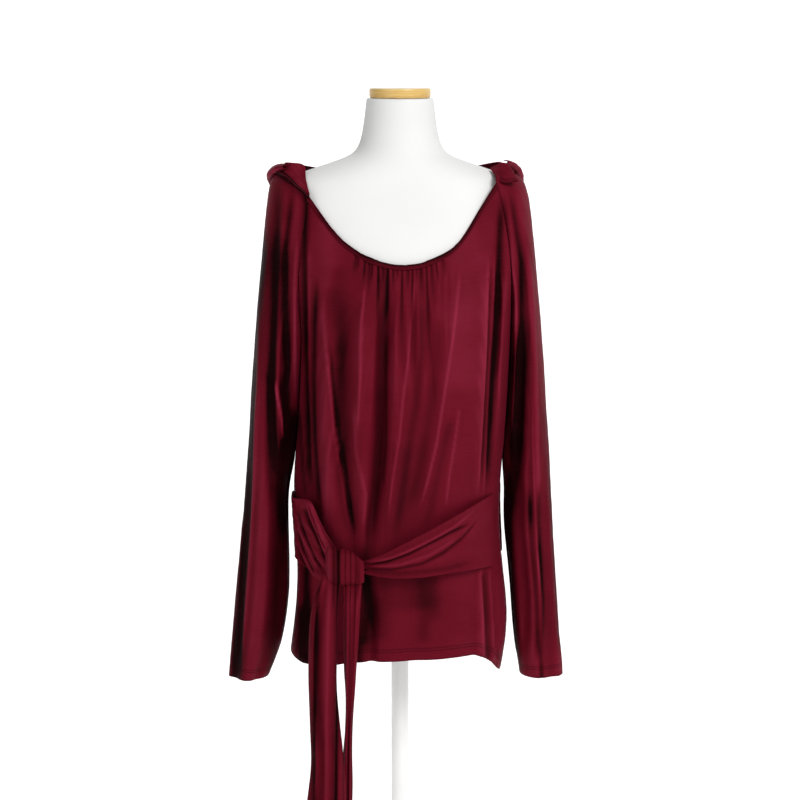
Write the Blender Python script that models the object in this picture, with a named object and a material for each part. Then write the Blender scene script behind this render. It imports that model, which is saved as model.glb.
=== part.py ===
"""Drapey tie-front hoodie hanging on a limbless dress form with a pole and a round base.

The form stands on Z = 0 with its chest towards -Y. The cloth is a set of thin closed walls.
Each wall is a grid of outer points, rows running down and columns running across, with its
inner points one cloth thickness behind. Raglan and side seams are one shared curve on each
side of the body, and the panels stop half a seam gap short of it.
"""
from collections import namedtuple
import math

import bpy
import bmesh
import numpy as np
from mathutils import Vector
from mathutils.bvhtree import BVHTree

# Driving dimensions, in metres
CLOTH = 0.0018
SEAM_GAP = 0.0003
REST_GAP = 0.0010
SAG_GAP = 0.0016
UNDERARM_Z = 0.967
BASE_RADIUS = 0.165
BASE_HEIGHT = 0.014
POLE_RADIUS = 0.0125
COLLAR_RADIUS = 0.024
COLLAR_HEIGHT = 0.030
CAP_RADIUS = 0.0426
CAP_HEIGHT = 0.0135
ROUND_SIDES = 32
TIE_CLOTH = 0.00225
CAST_FAR = 0.40

# Colours
WINE = (0.115, 0.012, 0.030)
WHITE = (0.83, 0.83, 0.83)
WOOD = (0.52, 0.25, 0.08)
METAL = (0.75, 0.75, 0.76)

FormRow = namedtuple("FormRow", "z half_width front back squareness")
SleeveRow = namedtuple("SleeveRow", "seam_z seam_x ridge_z ridge_x front back opening")
TubeRow = namedtuple("TubeRow", "z inner outer front back")
BodyRow = namedtuple("BodyRow", "z right left front back flatness roundness")
Fold = namedtuple("Fold", "x_top z_top x_mid x_low z_low height half_width")
TubeFold = namedtuple("TubeFold", "turn z_top z_low height half_turn")
BandRow = namedtuple("BandRow", "turn top bottom lift ripple")
HoodRow = namedtuple("HoodRow", "turn start bottom free puff")
StripRow = namedtuple("StripRow", "z left right y")
Pleat = namedtuple("Pleat", "across depth")

# Sections of the form, neck to hips
FORM = [
    FormRow(1.4800, 0.0463, 0.046, 0.047, 2.0),
    FormRow(1.4370, 0.0516, 0.050, 0.051, 2.0),
    FormRow(1.4150, 0.0575, 0.054, 0.055, 2.0),
    FormRow(1.4030, 0.0680, 0.057, 0.059, 2.0),
    FormRow(1.3960, 0.0850, 0.059, 0.062, 2.0),
    FormRow(1.3880, 0.1080, 0.061, 0.066, 2.0),
    FormRow(1.3800, 0.1320, 0.063, 0.069, 2.05),
    FormRow(1.3730, 0.1530, 0.065, 0.071, 2.1),
    FormRow(1.3640, 0.1660, 0.068, 0.073, 2.2),
    FormRow(1.3500, 0.1715, 0.073, 0.076, 2.3),
    FormRow(1.3250, 0.1730, 0.084, 0.080, 2.35),
    FormRow(1.2950, 0.1715, 0.097, 0.086, 2.35),
    FormRow(1.2600, 0.1660, 0.109, 0.092, 2.3),
    FormRow(1.2200, 0.1540, 0.118, 0.097, 2.3),
    FormRow(1.1700, 0.1410, 0.122, 0.098, 2.3),
    FormRow(1.1200, 0.1330, 0.118, 0.095, 2.3),
    FormRow(1.0600, 0.1220, 0.102, 0.087, 2.3),
    FormRow(1.0000, 0.1130, 0.092, 0.081, 2.3),
    FormRow(0.9400, 0.1130, 0.092, 0.083, 2.3),
    FormRow(0.8800, 0.1210, 0.094, 0.091, 2.3),
    FormRow(0.8200, 0.1280, 0.097, 0.101, 2.3),
    FormRow(0.7880, 0.1285, 0.097, 0.102, 2.3),
    FormRow(0.7740, 0.1240, 0.093, 0.098, 2.3),
    FormRow(0.7680, 0.1130, 0.084, 0.089, 2.3),
]

# Sleeve arches from the neckline to the underarm. A row runs from the front seam over the
# ridge to the back seam, and its opening is 90 for a half ring and 0 for a whole one.
SLEEVE_LEFT = [
    SleeveRow(1.368, 0.1310, 1.3855, 0.1310, 0.0600, 0.0670, 90),
    SleeveRow(1.354, 0.1350, 1.3815, 0.1465, 0.0620, 0.0700, 90),
    SleeveRow(1.338, 0.1390, 1.3765, 0.1605, 0.0640, 0.0735, 90),
    SleeveRow(1.318, 0.1425, 1.3680, 0.1715, 0.0670, 0.0770, 90),
    SleeveRow(1.295, 0.1470, 1.3500, 0.1775, 0.0700, 0.0800, 88),
    SleeveRow(1.265, 0.1505, 1.3150, 0.1825, 0.0725, 0.0830, 84),
    SleeveRow(1.230, 0.1525, 1.2650, 0.1875, 0.0745, 0.0850, 78),
    SleeveRow(1.190, 0.1525, 1.2100, 0.1932, 0.0760, 0.0850, 70),
    SleeveRow(1.150, 0.1515, 1.1600, 0.1975, 0.0760, 0.0830, 62),
    SleeveRow(1.105, 0.1500, 1.1100, 0.2018, 0.0730, 0.0790, 52),
    SleeveRow(1.060, 0.1485, 1.0620, 0.2050, 0.0680, 0.0740, 40),
    SleeveRow(1.015, 0.1460, 1.0160, 0.2088, 0.0620, 0.0670, 26),
    SleeveRow(0.985, 0.1440, 0.9860, 0.2118, 0.0580, 0.0620, 13),
    SleeveRow(UNDERARM_Z, 0.1430, 0.9680, 0.2135, 0.0560, 0.0600, 0),
]
SLEEVE_RIGHT = [
    SleeveRow(1.353, 0.1265, 1.3780, 0.1690, 0.0630, 0.0700, 90),
    SleeveRow(1.342, 0.1270, 1.3745, 0.1750, 0.0640, 0.0720, 90),
    SleeveRow(1.328, 0.1280, 1.3670, 0.1790, 0.0655, 0.0745, 90),
    SleeveRow(1.310, 0.1290, 1.3530, 0.1820, 0.0675, 0.0770, 90),
    SleeveRow(1.288, 0.1300, 1.3300, 0.1848, 0.0700, 0.0795, 88),
    SleeveRow(1.260, 0.1315, 1.2950, 0.1892, 0.0725, 0.0820, 84),
    SleeveRow(1.228, 0.1325, 1.2500, 0.1940, 0.0745, 0.0840, 78),
    SleeveRow(1.190, 0.1335, 1.2040, 0.1980, 0.0760, 0.0840, 70),
    SleeveRow(1.150, 0.1350, 1.1580, 0.2027, 0.0760, 0.0830, 62),
    SleeveRow(1.105, 0.1375, 1.1090, 0.2065, 0.0730, 0.0790, 52),
    SleeveRow(1.060, 0.1405, 1.0620, 0.2104, 0.0680, 0.0740, 40),
    SleeveRow(1.015, 0.1440, 1.0160, 0.2130, 0.0620, 0.0670, 26),
    SleeveRow(0.985, 0.1470, 0.9860, 0.2160, 0.0580, 0.0620, 13),
    SleeveRow(UNDERARM_Z, 0.1490, 0.9680, 0.2172, 0.0560, 0.0600, 0),
]

# Sleeve tubes below the underarm
TUBE_LEFT = [
    TubeRow(UNDERARM_Z, 0.1430, 0.2135, 0.056, 0.060),
    TubeRow(0.945, 0.1470, 0.2148, 0.054, 0.058),
    TubeRow(0.915, 0.1450, 0.2164, 0.052, 0.056),
    TubeRow(0.885, 0.1445, 0.2182, 0.050, 0.055),
    TubeRow(0.840, 0.1510, 0.2210, 0.049, 0.054),
    TubeRow(0.790, 0.1560, 0.2252, 0.047, 0.052),
    TubeRow(0.740, 0.1590, 0.2282, 0.044, 0.050),
    TubeRow(0.700, 0.1640, 0.2315, 0.042, 0.047),
    TubeRow(0.668, 0.1695, 0.2335, 0.040, 0.045),
]
TUBE_RIGHT = [
    TubeRow(UNDERARM_Z, 0.1490, 0.2172, 0.056, 0.060),
    TubeRow(0.945, 0.1560, 0.2188, 0.054, 0.058),
    TubeRow(0.915, 0.1580, 0.2215, 0.053, 0.057),
    TubeRow(0.885, 0.1570, 0.2238, 0.052, 0.056),
    TubeRow(0.840, 0.1560, 0.2285, 0.051, 0.056),
    TubeRow(0.800, 0.1555, 0.2330, 0.050, 0.055),
    TubeRow(0.765, 0.1590, 0.2368, 0.048, 0.052),
    TubeRow(0.720, 0.1650, 0.2405, 0.044, 0.048),
    TubeRow(0.690, 0.1740, 0.2435, 0.041, 0.045),
    TubeRow(0.664, 0.1860, 0.2455, 0.039, 0.043),
]

# Body sections: the side columns count below the underarm, where the side seams take over
BODY = [
    BodyRow(1.370, 0.1490, 0.1430, 0.066, 0.076, 2.2, 1.20),
    BodyRow(1.300, 0.1490, 0.1430, 0.090, 0.095, 2.2, 1.20),
    BodyRow(1.240, 0.1490, 0.1430, 0.112, 0.104, 2.2, 1.25),
    BodyRow(1.170, 0.1490, 0.1430, 0.136, 0.108, 2.3, 1.35),
    BodyRow(1.100, 0.1490, 0.1430, 0.141, 0.108, 2.4, 1.50),
    BodyRow(1.030, 0.1490, 0.1430, 0.139, 0.106, 2.4, 1.75),
    BodyRow(UNDERARM_Z, 0.1490, 0.1430, 0.135, 0.104, 2.4, 2.00),
    BodyRow(0.940, 0.1505, 0.1403, 0.132, 0.104, 2.4, 2.00),
    BodyRow(0.900, 0.1485, 0.1395, 0.127, 0.105, 2.3, 2.00),
    BodyRow(0.850, 0.1455, 0.1430, 0.123, 0.108, 2.3, 2.00),
    BodyRow(0.800, 0.1450, 0.1480, 0.124, 0.115, 2.3, 2.00),
    BodyRow(0.750, 0.1500, 0.1545, 0.130, 0.120, 2.3, 2.00),
    BodyRow(0.700, 0.1560, 0.1480, 0.134, 0.123, 2.3, 2.00),
    BodyRow(0.670, 0.1570, 0.1420, 0.134, 0.123, 2.3, 2.00),
]

# Neckline and hem as height over the distance from the middle
FRONT_NECK = [(-0.1265, 1.3530), (-0.1097, 1.3301), (-0.0849, 1.2992), (-0.0538, 1.2745),
              (-0.0255, 1.2631), (0.0013, 1.2589), (0.0228, 1.2606), (0.0524, 1.2709),
              (0.0740, 1.2837), (0.0903, 1.3046), (0.1124, 1.3396), (0.1310, 1.3680)]
BACK_NECK = [(-0.1265, 1.3530), (-0.100, 1.3505), (-0.050, 1.3410), (0.0, 1.3370),
             (0.050, 1.3420), (0.100, 1.3560), (0.1310, 1.3680)]
FRONT_HEM = [(-0.1560, 0.7020), (-0.1290, 0.6990), (-0.0600, 0.7150), (0.0270, 0.7190),
             (0.1000, 0.7200), (0.1200, 0.7100), (0.1420, 0.6770)]
BACK_HEM = [(-0.1560, 0.7020), (-0.1000, 0.7080), (0.0, 0.7100), (0.1000, 0.7040), (0.1420, 0.6770)]

# Long folds of the front and the back: a negative height is a valley
FRONT_FOLDS = [
    Fold(-0.0173, 1.246, -0.0270, -0.0420, 0.850, -0.0150, 0.0095),
    Fold(-0.0660, 1.240, -0.0790, -0.0640, 0.870, -0.0125, 0.0105),
    Fold(-0.1130, 1.262, -0.1170, -0.1090, 0.900, -0.0090, 0.0060),
    Fold(-0.1310, 1.300, -0.1285, -0.1210, 0.900, -0.0150, 0.0075),
    Fold(-0.1460, 1.270, -0.1415, -0.1300, 0.960, -0.0080, 0.0055),
    Fold(-0.1590, 1.290, -0.1560, -0.1490, 1.030, -0.0150, 0.0080),
    Fold(-0.1700, 1.330, -0.1790, -0.1830, 0.980, -0.0090, 0.0070),
    Fold(0.0050, 1.250, 0.0030, 0.0020, 1.110, -0.0045, 0.0050),
    Fold(0.0175, 1.252, 0.0165, 0.0200, 1.100, -0.0060, 0.0045),
    Fold(0.0360, 1.250, 0.0385, 0.0430, 1.090, -0.0060, 0.0055),
    Fold(0.0300, 1.060, 0.0270, 0.0220, 0.880, -0.0040, 0.0080),
    Fold(0.1360, 1.290, 0.1280, 0.1140, 1.000, -0.0130, 0.0080),
    Fold(0.1530, 1.250, 0.1470, 0.1380, 0.990, -0.0130, 0.0080),
    Fold(0.1690, 1.310, 0.1680, 0.1610, 0.970, -0.0130, 0.0075),
    Fold(-0.1050, 1.270, -0.1040, -0.1020, 0.900, 0.0040, 0.0060),
    Fold(-0.0500, 1.240, -0.0530, -0.0480, 0.900, 0.0050, 0.0110),
    Fold(-0.0100, 1.220, -0.0060, -0.0140, 0.880, 0.0040, 0.0100),
    Fold(0.0780, 1.250, 0.0640, 0.0380, 0.900, 0.0030, 0.0070),
    Fold(0.1180, 1.280, 0.1140, 0.1090, 0.930, 0.0045, 0.0055),
    Fold(0.1440, 1.260, 0.1390, 0.1300, 0.980, 0.0050, 0.0050),
    Fold(-0.0420, 0.830, -0.0380, -0.0420, 0.690, -0.0090, 0.0080),
    Fold(0.0160, 0.820, 0.0180, 0.0220, 0.700, -0.0040, 0.0160),
    Fold(0.1110, 0.830, 0.1125, 0.1150, 0.680, 0.0060, 0.0050),
    Fold(0.1230, 0.835, 0.1290, 0.1360, 0.690, -0.0070, 0.0060),
    Fold(-0.1270, 0.800, -0.1250, -0.1210, 0.680, -0.0100, 0.0080),
]
BACK_FOLDS = [
    Fold(-0.1250, 1.280, -0.1200, -0.1150, 0.900, -0.0100, 0.0080),
    Fold(-0.0900, 1.240, -0.0860, -0.0900, 0.680, -0.0090, 0.0110),
    Fold(-0.0420, 1.230, -0.0460, -0.0380, 0.670, -0.0070, 0.0130),
    Fold(0.0080, 1.250, 0.0050, 0.0120, 0.670, -0.0060, 0.0110),
    Fold(0.0520, 1.230, 0.0560, 0.0480, 0.670, -0.0080, 0.0140),
    Fold(0.0980, 1.250, 0.0940, 0.1000, 0.670, -0.0090, 0.0090),
    Fold(0.1350, 1.290, 0.1300, 0.1180, 0.960, -0.0100, 0.0070),
    Fold(-0.1550, 1.280, -0.1560, -0.1500, 1.000, -0.0090, 0.0080),
    Fold(0.1600, 1.290, 0.1580, 0.1500, 1.000, -0.0090, 0.0070),
]

# Folds along the hanging sleeves: the turn is in degrees from the body side over the front
TUBE_FOLDS_LEFT = [
    TubeFold(62, 1.040, 0.700, -0.0080, 16),
    TubeFold(112, 0.990, 0.640, -0.0095, 13),
    TubeFold(205, 1.150, 0.640, -0.0070, 20),
    TubeFold(285, 1.000, 0.640, -0.0070, 18),
]
TUBE_FOLDS_RIGHT = [
    TubeFold(55, 1.000, 0.640, -0.0070, 15),
    TubeFold(132, 1.020, 0.640, -0.0100, 13),
    TubeFold(215, 1.100, 0.640, -0.0070, 20),
    TubeFold(290, 1.000, 0.640, -0.0070, 18),
]

# Where the sash presses the long folds flat
PRESS_Z = 0.872
PRESS_SPREAD = 0.035
PRESS_SHARE = 0.65

# Gathers under the front neckline, its binding, and the columns round a sleeve
SLEEVE_COLUMNS = 19
GATHER_COUNT = 14
GATHER_REACH = 0.45
GATHER_HEIGHT = 0.0017
BINDING_CLOTH = 0.0012

# Tie bands round the waist: the turn is in degrees about Z from +X, the lift is off the panel
SASH_FRONT = [
    BandRow(-25, 0.938, 0.836, 0.0001, 0.0000),
    BandRow(-35, 0.937, 0.839, 0.0020, 0.0005),
    BandRow(-48, 0.930, 0.841, 0.0045, 0.0014),
    BandRow(-61, 0.918, 0.841, 0.0060, 0.0020),
    BandRow(-74, 0.902, 0.838, 0.0070, 0.0024),
    BandRow(-87, 0.885, 0.837, 0.0080, 0.0026),
    BandRow(-99, 0.869, 0.838, 0.0080, 0.0022),
    BandRow(-112, 0.856, 0.842, 0.0070, 0.0014),
]
SASH_BACK = [
    BandRow(4, 0.940, 0.842, 0.0003, 0.0000),
    BandRow(30, 0.936, 0.836, 0.0020, 0.0008),
    BandRow(60, 0.930, 0.830, 0.0030, 0.0014),
    BandRow(90, 0.926, 0.826, 0.0030, 0.0018),
    BandRow(120, 0.924, 0.828, 0.0030, 0.0018),
    BandRow(150, 0.924, 0.834, 0.0012, 0.0012),
    BandRow(170, 0.926, 0.842, 0.0004, 0.0008),
]
SASH_COIL = [
    BandRow(171, 0.926, 0.842, 0.0004, 0.0008),
    BandRow(188, 0.930, 0.846, 0.0004, 0.0010),
    BandRow(200, 0.932, 0.848, 0.0040, 0.0030),
    BandRow(208, 0.934, 0.844, 0.0065, 0.0036),
    BandRow(214, 0.936, 0.836, 0.0080, 0.0036),
    BandRow(219, 0.934, 0.827, 0.0085, 0.0034),
    BandRow(224, 0.916, 0.823, 0.0085, 0.0030),
    BandRow(229, 0.893, 0.831, 0.0075, 0.0022),
    BandRow(234, 0.872, 0.844, 0.0060, 0.0012),
]

# Hood lying on the shoulders and the back: turns about Z, heights as angles above HOOD_EYE
HOOD_EYE = (0.0, 0.0, 1.22)
HOOD_REST = 0.0025
HOOD_TURN_ROOM = 0.0026
HOOD_ROOM = 0.0052
HOOD_DOWN = [0.0, 0.10, 0.24, 0.42, 0.62, 0.82, 0.97]
HOOD_UP = [0.97, 0.84, 0.66, 0.46, 0.26, 0.10, 0.0]
HOOD_LEVELS = (62.0, -52.0, -2.0)
HOOD_RIGHT = [
    HoodRow(191, 50.4, 45.5, 48.8, 0.0010),
    HoodRow(181, 50.2, 40.5, 46.8, 0.0020),
    HoodRow(170, 49.3, 38.0, 45.0, 0.0035),
    HoodRow(158, 48.9, 33.0, 43.0, 0.0060),
    HoodRow(146, 49.6, 23.0, 40.0, 0.0090),
    HoodRow(133, 51.5, 4.0, 37.0, 0.0120),
    HoodRow(119, 54.0, -22.0, 33.5, 0.0150),
    HoodRow(105, 56.5, -39.0, 31.0, 0.0180),
    HoodRow(90.2, 57.5, -46.0, 29.0, 0.0190),
]
HOOD_LEFT = [
    HoodRow(89.8, 57.5, -46.0, 29.0, 0.0190),
    HoodRow(75, 56.5, -39.0, 31.0, 0.0180),
    HoodRow(61, 54.0, -22.0, 33.5, 0.0150),
    HoodRow(47, 51.5, 4.0, 37.0, 0.0120),
    HoodRow(34, 49.8, 24.0, 41.0, 0.0090),
    HoodRow(22, 49.6, 35.0, 43.5, 0.0060),
    HoodRow(10, 50.4, 42.0, 46.5, 0.0030),
    HoodRow(0, 51.6, 46.5, 49.0, 0.0016),
    HoodRow(-8, 52.4, 49.2, 50.8, 0.0010),
]

# Knot sections: height, half height and depth over the distance from the middle
KNOT_LEFT = -0.1015
KNOT_RIGHT = -0.0485
KNOT_REACH = 0.006
KNOT_STATIONS = 11
KNOT_SIDES = 18
KNOT_CASTS = 54
KNOT_CREASE = 0.06
KNOT_MIDDLE = [(-0.1015, 0.8600), (-0.0750, 0.8570), (-0.0485, 0.8525)]
KNOT_HALF_HEIGHT = [(-0.1015, 0.0120), (-0.0920, 0.0190), (-0.0750, 0.0180), (-0.0600, 0.0130),
                    (-0.0485, 0.0080)]
KNOT_HALF_DEPTH = [(-0.1015, 0.0070), (-0.0900, 0.0125), (-0.0750, 0.0140), (-0.0600, 0.0120),
                   (-0.0485, 0.0070)]

# Free ends of the tie
TAIL_OUTER = [
    StripRow(0.838, -0.1010, -0.0810, -0.1400),
    StripRow(0.815, -0.1150, -0.0820, -0.1500),
    StripRow(0.770, -0.1235, -0.0830, -0.1560),
    StripRow(0.700, -0.1250, -0.0835, -0.1580),
    StripRow(0.640, -0.1240, -0.0825, -0.1580),
    StripRow(0.600, -0.1215, -0.0780, -0.1580),
    StripRow(0.560, -0.1225, -0.0740, -0.1580),
    StripRow(0.520, -0.1290, -0.0740, -0.1580),
    StripRow(0.455, -0.1330, -0.0750, -0.1580),
]
TAIL_OUTER_PLEATS = [Pleat(0.0, 0.006), Pleat(0.08, -0.001), Pleat(0.20, -0.004), Pleat(0.31, 0.004),
                     Pleat(0.42, -0.003), Pleat(0.60, -0.007), Pleat(0.78, -0.006), Pleat(0.92, -0.001),
                     Pleat(1.0, 0.006)]
TAIL_INNER = [
    StripRow(0.841, -0.0765, -0.0510, -0.1480),
    StripRow(0.815, -0.0775, -0.0525, -0.1500),
    StripRow(0.770, -0.0775, -0.0550, -0.1490),
    StripRow(0.700, -0.0765, -0.0600, -0.1470),
    StripRow(0.640, -0.0740, -0.0640, -0.1450),
    StripRow(0.600, -0.0790, -0.0655, -0.1440),
    StripRow(0.560, -0.0800, -0.0650, -0.1435),
    StripRow(0.520, -0.0820, -0.0655, -0.1430),
    StripRow(0.430, -0.0860, -0.0690, -0.1430),
]
TAIL_INNER_PLEATS = [Pleat(0.0, 0.004), Pleat(0.15, -0.002), Pleat(0.40, -0.004), Pleat(0.55, 0.0),
                     Pleat(0.75, -0.004), Pleat(1.0, 0.003)]

# Heights of the rows on the seam, neckline to underarm, then to the hem
SEAM_STEPS = [0.0, 0.0085, 0.020, 0.035, 0.054, 0.080, 0.113, 0.154, 0.202, 0.252, 0.302, 0.347, 0.381, 0.401]
BELOW_STEPS = [0.036, 0.082, 0.134, 0.188, 0.232, 0.262]
TUBE_STEPS = [0.030, 0.075, 0.125, 0.175, 0.225, 0.268, 0.302]


def smooth(keys, values):
    """Monotone cubic through the given values, as a function of the key."""
    order = np.argsort(keys)
    x = np.asarray(keys, float)[order]
    y = np.asarray(values, float)[order]
    step = np.diff(x)
    slope = np.diff(y) / step
    tangent = np.zeros_like(y)
    tangent[0], tangent[-1] = slope[0], slope[-1]
    left, right = slope[:-1], slope[1:]
    same = left * right > 0
    tangent[1:-1][same] = 2 * left[same] * right[same] / (left[same] + right[same])

    def read(position):
        p = np.clip(np.asarray(position, float), x[0], x[-1])
        k = np.clip(np.searchsorted(x, p, side="right") - 1, 0, len(x) - 2)
        t = (p - x[k]) / step[k]
        first = (1 + 2 * t) * (1 - t) ** 2 * y[k] + t * (1 - t) ** 2 * step[k] * tangent[k]
        second = t * t * (3 - 2 * t) * y[k + 1] + t * t * (t - 1) * step[k] * tangent[k + 1]
        return first + second

    return read


def column(rows, key, value):
    """Smooth function of one column of a table over another."""
    return smooth([getattr(row, key) for row in rows], [getattr(row, value) for row in rows])


def curve(points):
    """Smooth function through pairs of numbers."""
    return smooth([point[0] for point in points], [point[1] for point in points])


def ease(value, low, high):
    """0 below low, 1 above high, with a smooth rise between them."""
    t = np.clip((value - low) / (high - low), 0, 1)
    return t * t * (3 - 2 * t)


def unit(vectors):
    """Vectors scaled to length 1."""
    return vectors / np.maximum(np.linalg.norm(vectors, axis=-1, keepdims=True), 1e-12)


def material(name, colour, roughness):
    """Principled material."""
    made = bpy.data.materials.new(name)
    made.use_nodes = True
    shader = made.node_tree.nodes["Principled BSDF"]
    shader.inputs["Base Color"].default_value = (*colour, 1.0)
    shader.inputs["Roughness"].default_value = roughness
    return made


def add_object(name, vertices, faces, looks):
    """One closed mesh with its faces turned outwards."""
    mesh = bpy.data.meshes.new(name)
    mesh.from_pydata([tuple(v) for v in vertices], [], faces)
    bm = bmesh.new()
    bm.from_mesh(mesh)
    bmesh.ops.triangulate(bm, faces=bm.faces)
    bmesh.ops.recalc_face_normals(bm, faces=bm.faces)
    bm.to_mesh(mesh)
    bm.free()
    mesh.materials.append(looks)
    made = bpy.data.objects.new(name, mesh)
    bpy.context.scene.collection.objects.link(made)
    mesh.shade_smooth()
    mesh.set_sharp_from_angle(angle=math.radians(40))
    return made


def wall(name, outer, inner, looks):
    """Closed wall between two grids of the same size, with its four rims."""
    rows, columns = outer.shape[:2]
    count = rows * columns
    faces = []
    for i in range(rows - 1):
        for j in range(columns - 1):
            a = i * columns + j
            quad = (a, a + 1, a + columns + 1, a + columns)
            faces.append(quad)
            faces.append(tuple(count + k for k in reversed(quad)))
    top = [j for j in range(columns)]
    right = [i * columns + columns - 1 for i in range(rows)]
    bottom = [(rows - 1) * columns + j for j in reversed(range(columns))]
    left = [i * columns for i in reversed(range(rows))]
    for edge in (top, right, bottom, left):
        for a, b in zip(edge, edge[1:]):
            faces.append((b, a, count + a, count + b))
    vertices = np.concatenate([outer.reshape(-1, 3), inner.reshape(-1, 3)])
    return add_object(name, vertices, faces, looks)


def grid_normals(grid):
    """Unit normals of a grid, from the directions along its rows and columns."""
    down = np.gradient(grid, axis=0)
    across = np.gradient(grid, axis=1)
    return unit(np.cross(down, across))


def facing(normals, wanted):
    """The same normals, turned where they point against the wanted directions."""
    sign = np.sign(np.sum(normals * wanted, axis=-1, keepdims=True))
    return normals * np.where(sign == 0, 1, sign)


def ring_grid(z, radii_x, radii_front, radii_back, squareness, sides):
    """Closed horizontal sections, one per height."""
    angles = np.arange(sides) * 2 * math.pi / sides
    rows = []
    for height, rx, rf, rb, power in zip(z, radii_x, radii_front, radii_back, squareness):
        c, s = np.cos(angles), np.sin(angles)
        x = rx * np.sign(c) * np.abs(c) ** (2 / power)
        y = np.where(s < 0, rf, rb) * np.sign(s) * np.abs(s) ** (2 / power)
        rows.append(np.stack([x, y, np.full(sides, height)], axis=1))
    return np.array(rows)


def capped_tube(name, grid, looks):
    """Closed solid from closed sections, with a flat fan over each end."""
    rows, sides = grid.shape[:2]
    faces = []
    for i in range(rows - 1):
        for j in range(sides):
            k = (j + 1) % sides
            faces.append((i * sides + j, i * sides + k, (i + 1) * sides + k, (i + 1) * sides + j))
    faces.append(tuple(range(sides)))
    faces.append(tuple((rows - 1) * sides + j for j in range(sides)))
    return add_object(name, grid.reshape(-1, 3), faces, looks)


def turned(name, profile, looks, sides=ROUND_SIDES):
    """Solid turned about Z from (radius, height) pairs."""
    radii = [point[0] for point in profile]
    heights = [point[1] for point in profile]
    grid = ring_grid(heights, radii, radii, radii, [2.0] * len(profile), sides)
    return capped_tube(name, grid, looks)


def solid_tree(*objects):
    """Search tree over the faces of some objects."""
    vertices, faces = [], []
    for thing in objects:
        base = len(vertices)
        vertices.extend(v.co.copy() for v in thing.data.vertices)
        faces.extend([base + k for k in face.vertices] for face in thing.data.polygons)
    return BVHTree.FromPolygons(vertices, faces)


def clear_of(tree, points, distance):
    """Points pushed out to their distance from a solid wherever they come nearer."""
    moved = points.reshape(-1, 3).copy()
    wanted = np.broadcast_to(distance, points.shape[:-1]).reshape(-1)
    for k, point in enumerate(moved):
        place, normal, _, _ = tree.find_nearest(Vector(point))
        height = (Vector(point) - place).dot(normal)
        if height < wanted[k]:
            moved[k] = point + np.array(normal) * (wanted[k] - height)
    return moved.reshape(points.shape)


def cast(tree, origins, directions):
    """Distance from each origin to the last surface met along its direction."""
    flat_origins = origins.reshape(-1, 3)
    flat_directions = directions.reshape(-1, 3)
    reach = np.zeros(len(flat_origins))
    for k, (origin, direction) in enumerate(zip(flat_origins, flat_directions)):
        start = Vector(origin + direction * CAST_FAR)
        place, _, _, distance = tree.ray_cast(start, Vector(-direction), CAST_FAR)
        reach[k] = CAST_FAR - distance if place is not None else 0.0
    return reach.reshape(origins.shape[:-1])


def spread(field):
    """Each value raised to the largest of its neighbours, then softened."""
    padded = np.pad(field, 1, mode="edge")
    rows, columns = field.shape
    around = [padded[i:i + rows, j:j + columns] for i in range(3) for j in range(3)]
    largest = np.max(around, axis=0)
    padded = np.pad(largest, 1, mode="edge")
    around = [padded[i:i + rows, j:j + columns] for i in range(3) for j in range(3)]
    return np.maximum(np.mean(around, axis=0), field)


def fold_height(folds, x, z):
    """Height of the long folds at places seen from the front."""
    total = np.zeros(np.broadcast(x, z).shape)
    for fold in folds:
        span = fold.z_top - fold.z_low
        along = (fold.z_top - z) / span
        bend = 4 * (fold.x_mid - (fold.x_top + fold.x_low) / 2)
        path = fold.x_top + (fold.x_low - fold.x_top) * along + bend * along * (1 - along)
        strength = ease(along, -0.02, 0.22) * (1 - ease(along, 0.85, 1.08))
        total = total + fold.height * strength * np.exp(-((x - path) / fold.half_width) ** 2)
    return total


def fold_outward(points, normal_share=0.045):
    """Points moved towards the front or the back by the long folds, less near the sides."""
    x, y, z = points[..., 0], points[..., 1], points[..., 2]
    share = ease(np.abs(y), 0.0, normal_share)
    pressed = 1 - PRESS_SHARE * np.exp(-((z - PRESS_Z) / PRESS_SPREAD) ** 2)
    front = fold_height(FRONT_FOLDS, x, z) * share * pressed
    back = fold_height(BACK_FOLDS, x, z) * share * pressed
    moved = points.copy()
    moved[..., 1] = np.where(y < 0, y - front, y + back)
    return moved


class Side:
    """Seam curve and sleeve sections of one side of the body."""

    def __init__(self, sign, rows, tube, body_key, tube_folds):
        self.sign = sign
        self.tube_folds = tube_folds
        self.top = rows[0].seam_z
        self.seam_x = column(rows, "seam_z", "seam_x")
        self.ridge_x = column(rows, "seam_z", "ridge_x")
        self.ridge_z = column(rows, "seam_z", "ridge_z")
        self.front = column(rows, "seam_z", "front")
        self.back = column(rows, "seam_z", "back")
        self.opening = column(rows, "seam_z", "opening")
        self.tube_inner = column(tube, "z", "inner")
        self.tube_outer = column(tube, "z", "outer")
        self.tube_front = column(tube, "z", "front")
        self.tube_back = column(tube, "z", "back")
        self.tube_end = tube[-1].z
        self.body_x = column(BODY, "z", body_key)

    def seam(self, z, facing_front):
        """Seam point at a height: x without the gap, y, and the opening angle."""
        above = np.asarray(z) >= UNDERARM_Z
        angle = np.radians(np.where(above, self.opening(z), 0.0))
        depth = self.front(z) if facing_front else self.back(z)
        y = np.where(above, depth * np.sin(angle), 0.0)
        x = np.where(above, self.seam_x(z), self.body_x(z))
        return self.sign * x, (-y if facing_front else y), angle

    def rows(self, last, below):
        """Heights of the seam rows from the neckline to the given end."""
        first = SEAM_STEPS[-1]
        scale = (self.top - UNDERARM_Z) / first
        above = [self.top - step * scale for step in SEAM_STEPS]
        under = [UNDERARM_Z - step * (UNDERARM_Z - last) / below[-1] for step in below]
        return np.array(above + under)


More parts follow.
